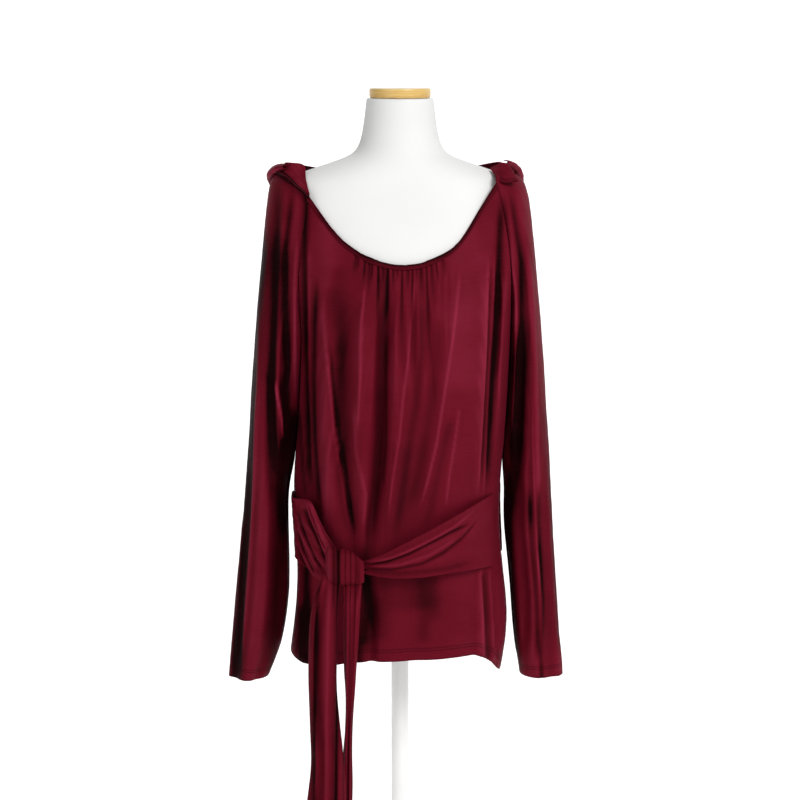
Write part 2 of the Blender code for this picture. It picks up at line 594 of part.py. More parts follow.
def panel(sides, facing_front, across, neck, hem, form_tree):
    """Outer points and base normals of the front or the back panel."""
    right, left = sides
    sign_y = -1.0 if facing_front else 1.0
    depth = column(BODY, "z", "front" if facing_front else "back")
    flatness = column(BODY, "z", "flatness")
    roundness = column(BODY, "z", "roundness")
    neck_height = curve(neck)
    hem_height = curve(hem)

    def section(z, t):
        xr, yr, _ = right.seam(z, facing_front)
        xl, yl, _ = left.seam(z, facing_front)
        x = (xr + xl) / 2 + t * (xl - xr) / 2
        edge = np.abs(yr + (yl - yr) * (t + 1) / 2)
        bow = np.maximum(1 - np.abs(t) ** flatness(z), 0) ** (1 / roundness(z))
        y = edge + (np.maximum(depth(z), edge) - edge) * bow
        return x, sign_y * y

    t = np.asarray(across)
    top, bottom = np.full(len(t), 1.3), np.full(len(t), 0.7)
    for _ in range(30):
        top = neck_height(section(top, t)[0])
        bottom = hem_height(section(bottom, t)[0])
    right_rows = right.rows(bottom[0], BELOW_STEPS)
    left_rows = left.rows(bottom[-1], BELOW_STEPS)
    share_right = (right.top - right_rows) / (right.top - bottom[0])
    share_left = (left.top - left_rows) / (left.top - bottom[-1])
    mix = (t + 1) / 2
    share = share_right[:, None] * (1 - mix) + share_left[:, None] * mix
    z = top + (bottom - top) * share
    x, y = section(z, t[None, :])
    base = np.stack([x, y, z], axis=-1)
    distance = rest_distance(top[None, :] - z)
    base = clear_of(form_tree, base, distance)
    outer = fold_outward(base)
    if facing_front:
        outer = gathered(outer, t, top[None, :] - z)
    outer = clear_of(form_tree, outer, distance)
    normals = facing(grid_normals(base), np.stack([x * 0.5, y, z * 0], axis=-1))
    under = z[:, 0] <= UNDERARM_Z + 1e-6
    for edge, side in ((0, right), (-1, left)):
        normals[under, edge] = (side.sign, 0.0, 0.0)
        outer[:, edge, 0] -= side.sign * SEAM_GAP / 2
        outer[under, edge, 1] += sign_y * SEAM_GAP / 2
    return outer, normals


def rest_distance(drop):
    """How far outer points stay off the form: least along the neckline, where the rows are close."""
    return CLOTH + REST_GAP + SAG_GAP * ease(drop, 0.02, 0.07)


def gathered(points, t, drop):
    """Front panel points raised and sunk by the small gathers under the neckline."""
    phase = (t + GATHER_REACH) / (2 * GATHER_REACH) * GATHER_COUNT
    inside = ease(GATHER_REACH - np.abs(t), -0.005, 0.03)
    fade = ease(drop, 0.008, 0.022) * (1 - 0.75 * ease(drop, 0.03, 0.07)) * (1 - ease(drop, 0.06, 0.15))
    uneven = 1 + 0.35 * np.sin(t * 23) + 0.2 * np.sin(t * 51 + 1)
    moved = points.copy()
    moved[..., 1] += GATHER_HEIGHT * np.cos(2 * math.pi * phase) * inside * uneven * fade
    return moved


def sleeve(side, turns, form_tree):
    """Outer points and base normals of a sleeve, neckline to cuff."""
    w = np.linspace(0, 1, turns)
    z_rows = side.rows(side.tube_end, TUBE_STEPS)
    base = np.zeros((len(z_rows), turns, 3))
    radial = np.zeros_like(base)
    angles = np.zeros((len(z_rows), turns))
    for i, z in enumerate(z_rows):
        tube = z <= UNDERARM_Z + 1e-6
        opening = 0.0 if tube else math.radians(float(side.opening(z)))
        phi = opening + (2 * math.pi - 2 * opening) * w
        angles[i] = phi
        if tube:
            start = np.array([side.tube_inner(z), z])
            ridge = np.array([side.tube_outer(z), z])
            front, back = side.tube_front(z), side.tube_back(z)
        else:
            start = np.array([side.seam_x(z), z])
            ridge = np.array([side.ridge_x(z), side.ridge_z(z)])
            front, back = side.front(z), side.back(z)
        span = ridge - start
        reach = span / (1 + math.cos(opening))
        centre = start + reach * math.cos(opening)
        place = centre[None, :] - np.cos(phi)[:, None] * reach[None, :]
        depth = np.where(np.sin(phi) > 0, front, back)
        base[i, :, 0] = side.sign * place[:, 0]
        base[i, :, 1] = -depth * np.sin(phi)
        base[i, :, 2] = place[:, 1]
        away = -np.cos(phi) / np.linalg.norm(reach) ** 2
        radial[i, :, 0] = side.sign * away * reach[0]
        radial[i, :, 1] = -np.sin(phi) / depth
        radial[i, :, 2] = away * reach[1]
    radial = unit(radial)
    distance = rest_distance(side.top - base[..., 2])
    base = clear_of(form_tree, base, distance)
    normals = facing(grid_normals(base), radial)
    outer = fold_outward(base)
    turn = np.degrees(angles)
    level = radial * np.array([1.0, 1.0, 0.0])
    for fold in side.tube_folds:
        z = base[..., 2]
        strength = ease(fold.z_top - z, 0.0, 0.12) * ease(z - fold.z_low, 0.0, 0.02)
        bump = np.exp(-((turn - fold.turn) / fold.half_turn) ** 2)
        outer = outer + level * (fold.height * strength * bump)[..., None]
    outer = clear_of(form_tree, outer, distance)
    under = z_rows <= UNDERARM_Z + 1e-6
    for edge, sign_y in ((0, -1.0), (-1, 1.0)):
        normals[under, edge] = (-side.sign, 0.0, 0.0)
        outer[:, edge, 0] += side.sign * SEAM_GAP / 2
        outer[under, edge, 1] += sign_y * SEAM_GAP / 2
    return outer, normals


def join_seam(panel_normals, panel_edge, sleeve_normals, sleeve_edge):
    """Gives the two sides of a raglan seam one common direction wherever they nearly agree."""
    rows = len(SEAM_STEPS) - 1
    first = panel_normals[:rows, panel_edge]
    second = sleeve_normals[:rows, sleeve_edge]
    agree = np.sum(first * second, axis=-1)
    shared = unit(first + second) / np.sqrt(np.maximum((1 + agree) / 2, 0.4))[:, None]
    close = (agree > 0.2)[:, None]
    panel_normals[:rows, panel_edge] = np.where(close, shared, first)
    sleeve_normals[:rows, sleeve_edge] = np.where(close, shared, second)


def cloth_wall(name, outer, normals, looks):
    """Closed wall one cloth thickness deep behind its outer points."""
    return wall(name, outer, outer - normals * CLOTH, looks)


def tie_band(name, rows, tree, columns, across, creases, slant, looks):
    """Band of cloth round the waist that lies on what the tree holds."""
    turn = np.linspace(rows[0].turn, rows[-1].turn, columns)
    share = np.linspace(0, 1, across)
    top = column(rows, "turn", "top")(turn)
    bottom = column(rows, "turn", "bottom")(turn)
    lift = column(rows, "turn", "lift")(turn)
    ripple = column(rows, "turn", "ripple")(turn)
    z = top + (bottom - top) * share[:, None]
    flat = np.radians(np.broadcast_to(turn, z.shape))
    direction = np.stack([np.cos(flat), np.sin(flat), np.zeros_like(flat)], axis=-1)
    origin = np.stack([np.zeros_like(z), np.zeros_like(z), z], axis=-1)
    reach = spread(cast(tree, origin, direction))
    phase = creases * share[:, None] - slant * np.linspace(0, 1, columns)
    wave = ripple * (1 + np.cos(2 * math.pi * phase))
    near = origin + direction * (reach + SEAM_GAP + lift)[..., None]
    outer = near + direction * (CLOTH + wave)[..., None]
    return wall(name, outer, outer - direction * CLOTH, looks)


def hood_half(name, rows, crown_last, tree, columns, looks):
    """Half of the hood: down from the neck, round its lowest edge and up to its free edge."""
    tip, crown = (rows[0].turn, rows[-1].turn) if crown_last else (rows[-1].turn, rows[0].turn)
    turn = tip + (crown - tip) * np.linspace(0, 1, columns) ** 1.35
    start = column(rows, "turn", "start")(turn)
    bottom = column(rows, "turn", "bottom")(turn)
    free = column(rows, "turn", "free")(turn)
    puff = column(rows, "turn", "puff")(turn)
    down = np.array(HOOD_DOWN)[:, None]
    up = np.array(HOOD_UP)[:, None]
    lower = start + (bottom - start) * down
    upper = free + (bottom - free) * up
    height = np.radians(np.concatenate([lower, np.broadcast_to(bottom, (1, columns)), upper]))
    flat = np.radians(np.broadcast_to(turn, height.shape))
    direction = sphere(flat, height)
    support = curved_support(tree, turn, height)
    room = HOOD_ROOM + puff * np.sin(np.pi * np.clip(up, 0.05, 1.0)) ** 0.6
    under = np.zeros((len(down), columns))
    lift = HOOD_REST + np.concatenate([under, np.full((1, columns), HOOD_TURN_ROOM), room])
    centre = np.array(HOOD_EYE) + direction * (support + lift)[..., None]
    normals = grid_normals(centre)
    normals[:, -1, 0] = 0.0
    normals[:, -1] = unit(normals[:, -1])
    return wall(name, centre + normals * CLOTH / 2, centre - normals * CLOTH / 2, looks)


def sphere(flat, height):
    """Unit directions from turns about Z and angles above the level, in radians."""
    return np.stack([np.cos(flat) * np.cos(height), np.sin(flat) * np.cos(height), np.sin(height)], axis=-1)


def curved_support(tree, turn, height):
    """Distance from the hood's eye to what lies under it, softened over its neighbours."""
    levels = np.radians(np.arange(*HOOD_LEVELS))
    flat = np.broadcast_to(np.radians(turn), (len(levels), len(turn)))
    direction = sphere(flat, np.broadcast_to(levels[:, None], flat.shape))
    origin = np.broadcast_to(np.array(HOOD_EYE), direction.shape)
    field = spread(spread(cast(tree, origin, direction)))
    columns = [np.interp(-height[:, j], -levels, field[:, j]) for j in range(len(turn))]
    return np.stack(columns, axis=1)


def knot(name, tree, looks):
    """Tight wad where both ties cross: a lump with slanting creases that rests on the ties."""
    share = np.sin(np.linspace(0, 1, KNOT_STATIONS) * math.pi / 2) ** 2
    stations = KNOT_LEFT + (KNOT_RIGHT - KNOT_LEFT) * share
    angles = np.arange(KNOT_SIDES) * 2 * math.pi / KNOT_SIDES
    middle = curve(KNOT_MIDDLE)(stations)
    tall = curve(KNOT_HALF_HEIGHT)(stations)
    deep = curve(KNOT_HALF_DEPTH)(stations)
    fine = np.linspace(KNOT_LEFT, KNOT_RIGHT, KNOT_CASTS)[:, None]
    levels = curve(KNOT_MIDDLE)(fine) + curve(KNOT_HALF_HEIGHT)(fine) * np.linspace(-0.8, 0.8, 9)
    origin = np.stack([np.broadcast_to(fine, levels.shape), np.zeros_like(levels), levels], axis=-1)
    direction = np.broadcast_to(np.array([0.0, -1.0, 0.0]), origin.shape)
    reach = cast(tree, origin, direction).max(axis=1)
    near = np.abs(stations[:, None] - fine[:, 0]) < KNOT_REACH
    forward = np.where(near, reach, 0).max(axis=1) + deep + SEAM_GAP
    rows = []
    for x, z, half, depth, y in zip(stations, middle, tall, deep, forward):
        crease = 1 - KNOT_CREASE * (1 + np.cos(5 * angles + 90 * x))
        crease = np.where(np.abs(np.sin(angles)) > 0.7, 1.0, crease)
        crease = np.where(np.cos(angles) < 0, 1.0, crease)
        rows.append(np.stack([np.full(KNOT_SIDES, x), -y - depth * np.cos(angles) * crease,
                              z + half * np.sin(angles) * crease], axis=1))
    capped_tube(name, np.array(rows), looks)
    return smooth(stations, -forward)


def tie_end(name, rows, pleats, knot_y, columns, heights, looks):
    """Free end of the tie: a strip with lengthwise pleats that hangs from under the knot."""
    share = np.linspace(0, 1, columns)[None, :]
    level = np.linspace(rows[0].z, rows[-1].z, heights)[:, None]
    left = column(rows, "z", "left")(level)
    right = column(rows, "z", "right")(level)
    x = left + (right - left) * share
    top = curve(KNOT_MIDDLE)(x[0]) - curve(KNOT_HALF_HEIGHT)(x[0]) - 2 * SEAM_GAP
    along = (rows[0].z - level) / (rows[0].z - rows[-1].z)
    z = top + (rows[-1].z - top) * along
    hang = ease(top - z, -0.01, 0.05)
    y = column(rows, "z", "y")(level) + curve(pleats)(share) * hang
    y = y + (knot_y(x[0]) - CLOTH / 2 - y) * (1 - ease(top - z, 0.0, 0.045))
    outer = np.stack([x, y, z], axis=-1)
    inner = outer + np.array([0.0, TIE_CLOTH, 0.0])
    return wall(name, outer, inner, looks)


def clear_scene():
    """Removes whatever the file holds."""
    for thing in list(bpy.data.objects):
        bpy.data.objects.remove(thing, do_unlink=True)


def build_form(white, wood, metal):
    """Torso, neck cap, pole, collar and base."""
    z = np.array([1.4800, 1.4600, 1.4370, 1.4220, 1.4110, 1.4040, 1.3990, 1.3940, 1.3890, 1.3840, 1.3790,
                  1.3740, 1.3680, 1.3600, 1.3480, 1.3280, 1.3000, 1.2650, 1.2250, 1.1800, 1.1300, 1.0700,
                  1.0000, 0.9300, 0.8600, 0.8050, 0.7860, 0.7750, 0.7690, 0.7680])
    keys = ["half_width", "front", "back", "squareness"]
    sizes = [column(FORM, "z", key)(z) for key in keys]
    torso = capped_tube("form_torso", ring_grid(z, *sizes, ROUND_SIDES), white)
    cap_foot = FORM[0].z + SEAM_GAP
    rim = 0.0012
    cap_head = cap_foot + CAP_HEIGHT
    turned("form_cap", [(CAP_RADIUS - rim, cap_foot), (CAP_RADIUS, cap_foot + rim),
                        (CAP_RADIUS, cap_head - rim), (CAP_RADIUS - rim, cap_head)], wood)
    turned("stand_base", [(BASE_RADIUS, 0.0), (BASE_RADIUS, BASE_HEIGHT * 0.5),
                          (BASE_RADIUS - 0.006, BASE_HEIGHT * 0.85),
                          (BASE_RADIUS - 0.020, BASE_HEIGHT)], metal, 48)
    collar_foot = BASE_HEIGHT + SEAM_GAP
    collar_head = collar_foot + COLLAR_HEIGHT
    turned("stand_collar", [(COLLAR_RADIUS, collar_foot), (COLLAR_RADIUS, collar_head - 0.004),
                            (COLLAR_RADIUS - 0.005, collar_head)], metal, 32)
    turned("stand_pole", [(POLE_RADIUS, collar_head + SEAM_GAP),
                          (POLE_RADIUS, FORM[-1].z - SEAM_GAP)], metal, 24)
    return torso


def front_columns():
    """Positions across the front: two per gather, then closer towards the side seams."""
    middle = np.linspace(-GATHER_REACH, GATHER_REACH, 2 * GATHER_COUNT + 1)
    outer = GATHER_REACH + (1 - GATHER_REACH) * np.sin(np.arange(1, 12) / 11 * math.pi / 2)
    return np.concatenate([-outer[::-1], middle, outer])


def main():
    clear_scene()
    wine = material("wine_jersey", WINE, 0.62)
    white = material("white_form", WHITE, 0.7)
    wood = material("amber_wood", WOOD, 0.45)
    metal = material("white_metal", METAL, 0.35)
    form = build_form(white, wood, metal)
    form_tree = solid_tree(form)
    right = Side(-1, SLEEVE_RIGHT, TUBE_RIGHT, "right", TUBE_FOLDS_RIGHT)
    left = Side(1, SLEEVE_LEFT, TUBE_LEFT, "left", TUBE_FOLDS_LEFT)
    front_outer, front_normals = panel((right, left), True, front_columns(), FRONT_NECK, FRONT_HEM, form_tree)
    back_across = np.sin(np.linspace(-1, 1, 23) * math.pi / 2)
    back_outer, back_normals = panel((right, left), False, back_across, BACK_NECK, BACK_HEM, form_tree)
    right_outer, right_normals = sleeve(right, SLEEVE_COLUMNS, form_tree)
    left_outer, left_normals = sleeve(left, SLEEVE_COLUMNS, form_tree)
    join_seam(front_normals, 0, right_normals, 0)
    join_seam(back_normals, 0, right_normals, -1)
    join_seam(front_normals, -1, left_normals, 0)
    join_seam(back_normals, -1, left_normals, -1)
    front = cloth_wall("front_panel", front_outer, front_normals, wine)
    back = cloth_wall("back_panel", back_outer, back_normals, wine)
    sleeve_right = cloth_wall("sleeve_right", right_outer, right_normals, wine)
    sleeve_left = cloth_wall("sleeve_left", left_outer, left_normals, wine)
    edge = front_outer[:2]
    lift = grid_normals(front_outer)[:2]
    lift = facing(lift, edge * np.array([0.5, 1.0, 0.0]))
    wall("neck_binding", edge + lift * (SEAM_GAP + BINDING_CLOTH), edge + lift * SEAM_GAP, wine)
    body_tree = solid_tree(front, back)
    sash_front = tie_band("sash_front", SASH_FRONT, body_tree, 15, 8, 3.0, 0.0, wine)
    tie_band("sash_back", SASH_BACK, body_tree, 17, 6, 3.0, 0.6, wine)
    sash_coil = tie_band("sash_coil", SASH_COIL, body_tree, 17, 12, 4.0, 2.0, wine)
    shoulder_tree = solid_tree(form, back, sleeve_right, sleeve_left)
    hood_half("hood_right", HOOD_RIGHT, True, shoulder_tree, 12, wine)
    hood_half("hood_left", HOOD_LEFT, False, shoulder_tree, 12, wine)
    knot_y = knot("sash_knot", solid_tree(front, sash_front, sash_coil), wine)
    tie_end("tail_outer", TAIL_OUTER, TAIL_OUTER_PLEATS, knot_y, 12, 12, wine)
    tie_end("tail_inner", TAIL_INNER, TAIL_INNER_PLEATS, knot_y, 8, 12, wine)


main()
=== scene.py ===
"""Dresses a jersey hoodie on a dress form: cloth with its folds and stitching, form, stand and studio."""

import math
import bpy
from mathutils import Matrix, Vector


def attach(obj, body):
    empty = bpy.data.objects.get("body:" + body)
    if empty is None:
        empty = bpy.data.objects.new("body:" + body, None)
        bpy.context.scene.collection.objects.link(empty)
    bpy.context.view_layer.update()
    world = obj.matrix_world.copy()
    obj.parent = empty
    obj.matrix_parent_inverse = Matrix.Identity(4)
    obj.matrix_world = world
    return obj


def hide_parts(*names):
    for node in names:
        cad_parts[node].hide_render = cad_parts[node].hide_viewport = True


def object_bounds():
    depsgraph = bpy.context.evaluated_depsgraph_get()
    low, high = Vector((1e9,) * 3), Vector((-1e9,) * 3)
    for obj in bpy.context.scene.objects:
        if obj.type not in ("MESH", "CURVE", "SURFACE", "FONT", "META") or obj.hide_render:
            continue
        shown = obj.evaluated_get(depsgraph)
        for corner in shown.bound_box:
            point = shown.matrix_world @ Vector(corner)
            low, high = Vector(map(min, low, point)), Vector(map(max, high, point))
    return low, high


bl_info = {
    "name": "Hoodie on a dress form",
    "version": (1, 0, 0),
    "blender": (4, 5, 0),
    "location": "3D View > Sidebar > Hoodie",
    "description": "Makes the jersey pieces, the form, its stand and a plain studio around the packed frame",
    "category": "Object",
}

from collections import namedtuple

import bmesh
import bpy
import numpy as np
from bpy.props import FloatProperty, FloatVectorProperty, IntProperty, PointerProperty
from mathutils import Vector
from mathutils.bvhtree import BVHTree

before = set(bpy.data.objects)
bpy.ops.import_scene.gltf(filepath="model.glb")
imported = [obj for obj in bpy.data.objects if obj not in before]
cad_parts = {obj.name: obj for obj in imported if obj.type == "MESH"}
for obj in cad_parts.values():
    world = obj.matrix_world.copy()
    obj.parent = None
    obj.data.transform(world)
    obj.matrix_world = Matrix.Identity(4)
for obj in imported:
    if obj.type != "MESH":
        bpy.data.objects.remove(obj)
CAD_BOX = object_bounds()

# Reading the CAD walls, in metres: thicknesses, how far they may be off and how far a ray looks
WALL = 0.0018
TIE_WALL = 0.00225
WALL_PLAY = 5e-6
WALL_REACH = 0.0055
RAY_START = 2e-5
WELD = 2e-6
OPPOSED = -0.7

# Rounding: edges sharper than CRISP_ANGLE stay sharp, triangles that lie nearly flat are joined into quads,
# and an edge is level when it rises by less than LEVEL_SLOPE of its length.
CRISP_ANGLE = math.radians(50)
CRISP_SHARE = 0.92
PAIR_ANGLE = math.radians(40)
PAIR_SHAPE = math.radians(179)
LEVEL_SLOPE = 0.7

# Folds FOLD_DEPTH deep get the full painted shade in their valleys and painted highlight on their crests,
# which counts for FOLD_SHARE beside the creases' own painted shade and highlight.
FOLD_DEPTH = 0.0030
FOLD_ROUNDS = 40
FOLD_SHARE = 0.45

# A crease fades over this share of its length at each end, and over SIDE_FADE between front and back.
CREASE_FADE = 0.125
SIDE_FADE = 0.016

# Along a seam the cloth dips and is let out, and creases start SEAM_CLEAR from it. FAR means no seam or hem.
SEAM_DIP = 0.0004
SEAM_DIP_WIDTH = 0.0030
SEAM_LET_OUT = 0.0005
SEAM_CLEAR = 0.009
FAR = 1.0

# Heights that part the free edges of the panels and sleeves from their seams
PANEL_HEM_TOP = 0.725
CUFF_TOP = 0.70

# Body and sleeves for the knit's grain, in metres: radii, how flat the body is and the sleeves' middle
BODY_RADIUS = 0.15
BODY_FLATNESS = 0.05
ARM_RADIUS = 0.045
SLEEVE_X = 0.185

# Gathers hang from a neckline that is a parabola, and are this deep and this dark with painted shade, beside
# their width and tone
NECK_LOW = 1.2590
NECK_RISE = 3.1
NECK_MIDDLE = 0.002
GATHER_DEPTH = 0.8
GATHER_TONE = 1.4

# Front ends of the hood, in metres: a roll along the sleeve's neck edge and the lines of painted shade beside
# it
ROLL_WIDTH = 0.006
ROLL_HEIGHT = 0.0016
ROLL_DARK = 0.0024
ROLL_FOOT = 0.0064
ROLL_FOOT_DARK = 0.0020
ROLL_CLEAR = 0.007
ROLL_CLEAR_WIDTH = 0.003
ROLL_SAMPLES = 60

# Knot and ties: where the knot's lower part begins, how far it is drawn forward and down, the ties' middle
KNOT_WAIST = 0.864
KNOT_EASE = 0.024
KNOT_FORWARD = 0.0035
KNOT_DROP = 0.0150
TIE_X = -0.09

# Jersey, in metres: threads and seam lines run from full to none between two distances
THREAD = (0.0004, 0.0013)
SEAM_LINE = (0.0002, 0.0020)
ROW_GAP = 0.0035
STITCH_PITCH = 0.0032
COURSE_SHARE = 0.8
KNIT_HEIGHT = 0.00006
STREAK_HEIGHT = 0.00012
STITCH_DEPTH = 0.00045
SEAM_DEPTH = 0.0003

# How much streaks, clouds, stitches and seams change the jersey's tone
STREAK_TONE = 0.34
CLOUD_TONE = 0.40
STITCH_TONE = 0.38
SEAM_TONE = 0.35

# Heights between which painted shade darkens the form's cover up the neck
NECK_PAINTED_SHADE_SPAN = (1.37, 1.45)

# Colours that no setting changes
WOOD_TOP = (0.86, 0.78, 0.56)
STUDIO_SHADE = (0.93, 0.93, 0.93)
STUDIO_LIGHT = (0.96, 0.96, 0.96)

# Studio, in metres: the backdrop's front edge, bend and height, and what the lights look at
FLOOR_FRONT = -4.5
BEND_START = 2.2
BEND_RADIUS = 1.2
BACKDROP_HEIGHT = 5.0
BACKDROP_HALF_WIDTH = 5.0
CHEST = (0.0, 0.0, 1.05)

# A crease runs through points given as (z, x), or as (x, z) where it lies level, in metres.
# side is -1 on the front, 1 on the back and 0 on both. A height above 0 stands out and one below 0 is a
# trough. tone is painted light along the crease: painted highlight, or painted shade where it is below 0.
# A crease of height 0 is only a band of painted shade or painted highlight.
Crease = namedtuple("Crease", "side half_width height tone points")

FRONT_CREASES = [
    Crease(0, 0.0062, -0.0028, -0.55, [(1.250, -0.014), (1.228, -0.018), (1.175, -0.024), (1.107, -0.027),
                                       (1.025, -0.028), (0.955, -0.033), (0.890, -0.042), (0.850, -0.047)]),
    Crease(0, 0.0030, -0.0012, -0.50, [(1.180, -0.019), (1.107, -0.020), (1.025, -0.020), (0.950, -0.025)]),
    Crease(0, 0.0090, -0.0022, -0.25, [(1.240, -0.070), (1.186, -0.077), (1.105, -0.079), (1.050, -0.081),
                                       (0.980, -0.077), (0.930, -0.071), (0.880, -0.064)]),
    Crease(0, 0.0022, 0.0014, 0.55, [(1.205, -0.1045), (1.165, -0.1015), (1.116, -0.0965), (1.080, -0.093),
                                     (1.036, -0.0895), (0.985, -0.0815), (0.925, -0.0735), (0.885, -0.066)]),
    Crease(0, 0.0030, -0.0012, -0.70, [(1.165, -0.0965), (1.116, -0.0915), (1.036, -0.0845), (0.985, -0.0765),
                                       (0.925, -0.0690), (0.885, -0.062)]),
    Crease(0, 0.0022, 0.0012, 0.50, [(1.245, -0.044), (1.223, -0.048), (1.186, -0.052), (1.150, -0.0535),
                                     (1.108, -0.0535), (1.030, -0.058)]),
    Crease(0, 0.0026, 0.0010, 0.35, [(1.080, -0.062), (1.010, -0.060), (0.950, -0.046), (0.900, -0.050)]),
    Crease(0, 0.0020, 0.0012, 0.50, [(1.255, 0.020), (1.200, 0.016), (1.138, 0.011), (1.085, 0.004),
                                     (1.030, -0.001), (0.975, -0.010), (0.910, -0.017)]),
    Crease(0, 0.0020, 0.0014, 0.60, [(1.262, 0.081), (1.240, 0.0795), (1.190, 0.074), (1.132, 0.066),
                                     (1.080, 0.058), (1.020, 0.049), (0.965, 0.036), (0.920, 0.024)]),
    Crease(0, 0.0018, 0.0010, 0.45, [(1.075, 0.081), (1.010, 0.072), (0.970, 0.066), (0.930, 0.062)]),
    Crease(0, 0.0070, -0.0016, -0.38, [(1.060, 0.070), (1.000, 0.056), (0.940, 0.044), (0.895, 0.034)]),
    Crease(0, 0.0060, -0.0014, -0.40, [(1.230, 0.028), (1.150, 0.030), (1.080, 0.022), (1.000, 0.010),
                                       (0.930, 0.000), (0.880, -0.010)]),
    Crease(0, 0.0080, -0.0014, -0.35, [(1.200, 0.052), (1.130, 0.050), (1.060, 0.040), (0.980, 0.026),
                                       (0.920, 0.010)]),
    Crease(0, 0.0018, 0.0014, 0.65, [(1.275, 0.1195), (1.200, 0.1175), (1.118, 0.1155), (1.020, 0.111),
                                     (0.940, 0.107)]),
    Crease(0, 0.0018, 0.0014, 0.60, [(1.285, 0.1295), (1.200, 0.1255), (1.116, 0.1215), (1.020, 0.118),
                                     (0.935, 0.115)]),
    Crease(0, 0.0034, -0.0018, -0.60, [(1.262, 0.1245), (1.150, 0.1205), (1.050, 0.1160), (0.950, 0.111)]),
    Crease(0, 0.0050, -0.0026, -1.00, [(1.360, 0.1380), (1.220, 0.1330), (1.157, 0.1300), (1.080, 0.1260),
                                       (1.000, 0.1225), (0.940, 0.1200)]),
    Crease(0, 0.0040, -0.0022, -0.90, [(1.250, -0.113), (1.183, -0.117), (1.100, -0.119), (1.017, -0.118),
                                       (0.948, -0.113), (0.910, -0.108)]),
    Crease(0, 0.0050, -0.0024, -1.00, [(1.390, -0.125), (1.264, -0.131), (1.153, -0.130), (1.099, -0.129),
                                       (0.973, -0.126), (0.930, -0.122)]),
    Crease(0, 0.0020, 0.0014, 0.40, [(1.300, -0.1235), (1.200, -0.1235), (1.100, -0.1240), (0.960, -0.1195)]),
    Crease(0, 0.0044, -0.0020, -0.80, [(1.060, -0.142), (0.985, -0.137), (0.930, -0.133)]),
    Crease(0, 0.0090, -0.0022, -0.50, [(0.848, -0.045), (0.822, -0.044), (0.787, -0.037), (0.730, -0.047)]),
    # The bands of height 0 below are painted shade or highlight only, among them painted shadow right of the
    # inner tie end, painted shade in the panel's lower left corner and painted shadow under the sash.
    Crease(0, 0.0140, 0.0, -0.20, [(1.260, -0.086), (1.100, -0.084), (0.960, -0.078), (0.870, -0.066)]),
    Crease(0, 0.0300, 0.0, 0.22, [(1.330, 0.090), (1.260, 0.086), (1.180, 0.084), (1.080, 0.080)]),
    Crease(0, 0.0150, 0.0, 0.22, [(1.330, -0.100), (1.270, -0.094), (1.220, -0.092)]),
    Crease(0, 0.0110, 0.0, -0.26, [(1.265, -0.083), (1.200, -0.084), (1.130, -0.084)]),
    Crease(0, 0.0095, 0.0, -0.75, [(0.890, -0.048), (0.800, -0.0475), (0.730, -0.056), (0.620, -0.060)]),
    Crease(0, 0.0130, 0.0, -1.20, [(0.785, -0.134), (0.715, -0.136), (0.600, -0.137)]),
    Crease(0, 0.0260, 0.0, -0.22, [(1.030, 0.006), (0.940, 0.004), (0.860, -0.004)]),
    Crease(0, 0.0300, 0.0, -0.34, [(0.862, 0.014), (0.825, 0.020), (0.785, 0.024)]),
    Crease(0, 0.0120, 0.0, -0.30, [(0.850, -0.020), (0.800, -0.022), (0.740, -0.026)]),
    Crease(0, 0.0100, -0.0012, -0.35, [(0.838, 0.030), (0.790, 0.034), (0.740, 0.031)]),
    Crease(0, 0.0090, -0.0010, -0.32, [(0.860, 0.044), (0.815, 0.046), (0.770, 0.048)]),
    Crease(0, 0.0018, 0.0013, 0.60, [(0.838, 0.110), (0.794, 0.113), (0.755, 0.115), (0.710, 0.117)]),
    Crease(0, 0.0045, -0.0020, -0.62, [(0.838, 0.1165), (0.794, 0.1195), (0.755, 0.1215), (0.700, 0.124)]),
    Crease(0, 0.0018, 0.0012, 0.45, [(0.838, 0.1230), (0.790, 0.1265), (0.740, 0.1295), (0.690, 0.132)]),
    # A trough with the painted shadow of the outer tie end beside it.
    Crease(0, 0.0070, -0.0020, -1.10, [(0.850, -0.131), (0.800, -0.132), (0.760, -0.130), (0.700, -0.127)]),
]
BACK_CREASES = [
    Crease(0, 0.0070, -0.0022, -0.70, [(1.250, -0.085), (1.120, -0.075), (0.980, -0.066), (0.900, -0.070)]),
    Crease(0, 0.0030, 0.0014, 0.45, [(1.230, -0.050), (1.090, -0.046), (0.940, -0.035)]),
    Crease(0, 0.0060, -0.0020, -0.60, [(1.200, 0.020), (1.080, 0.024), (0.950, 0.018)]),
    Crease(0, 0.0060, -0.0022, -0.70, [(1.260, 0.088), (1.130, 0.080), (1.000, 0.066), (0.910, 0.060)]),
    Crease(0, 0.0028, 0.0013, 0.45, [(1.180, 0.110), (1.060, 0.104), (0.940, 0.100)]),
    Crease(0, 0.0050, -0.0024, -0.90, [(1.290, -0.126), (1.150, -0.128), (1.000, -0.126), (0.930, -0.122)]),
    Crease(0, 0.0050, -0.0024, -0.90, [(1.290, 0.134), (1.150, 0.130), (1.000, 0.124), (0.930, 0.120)]),
    Crease(0, 0.0060, -0.0020, -0.60, [(0.830, -0.060), (0.770, -0.064), (0.715, -0.058)]),
    Crease(0, 0.0060, -0.0020, -0.60, [(0.830, 0.055), (0.780, 0.060), (0.715, 0.064)]),
]
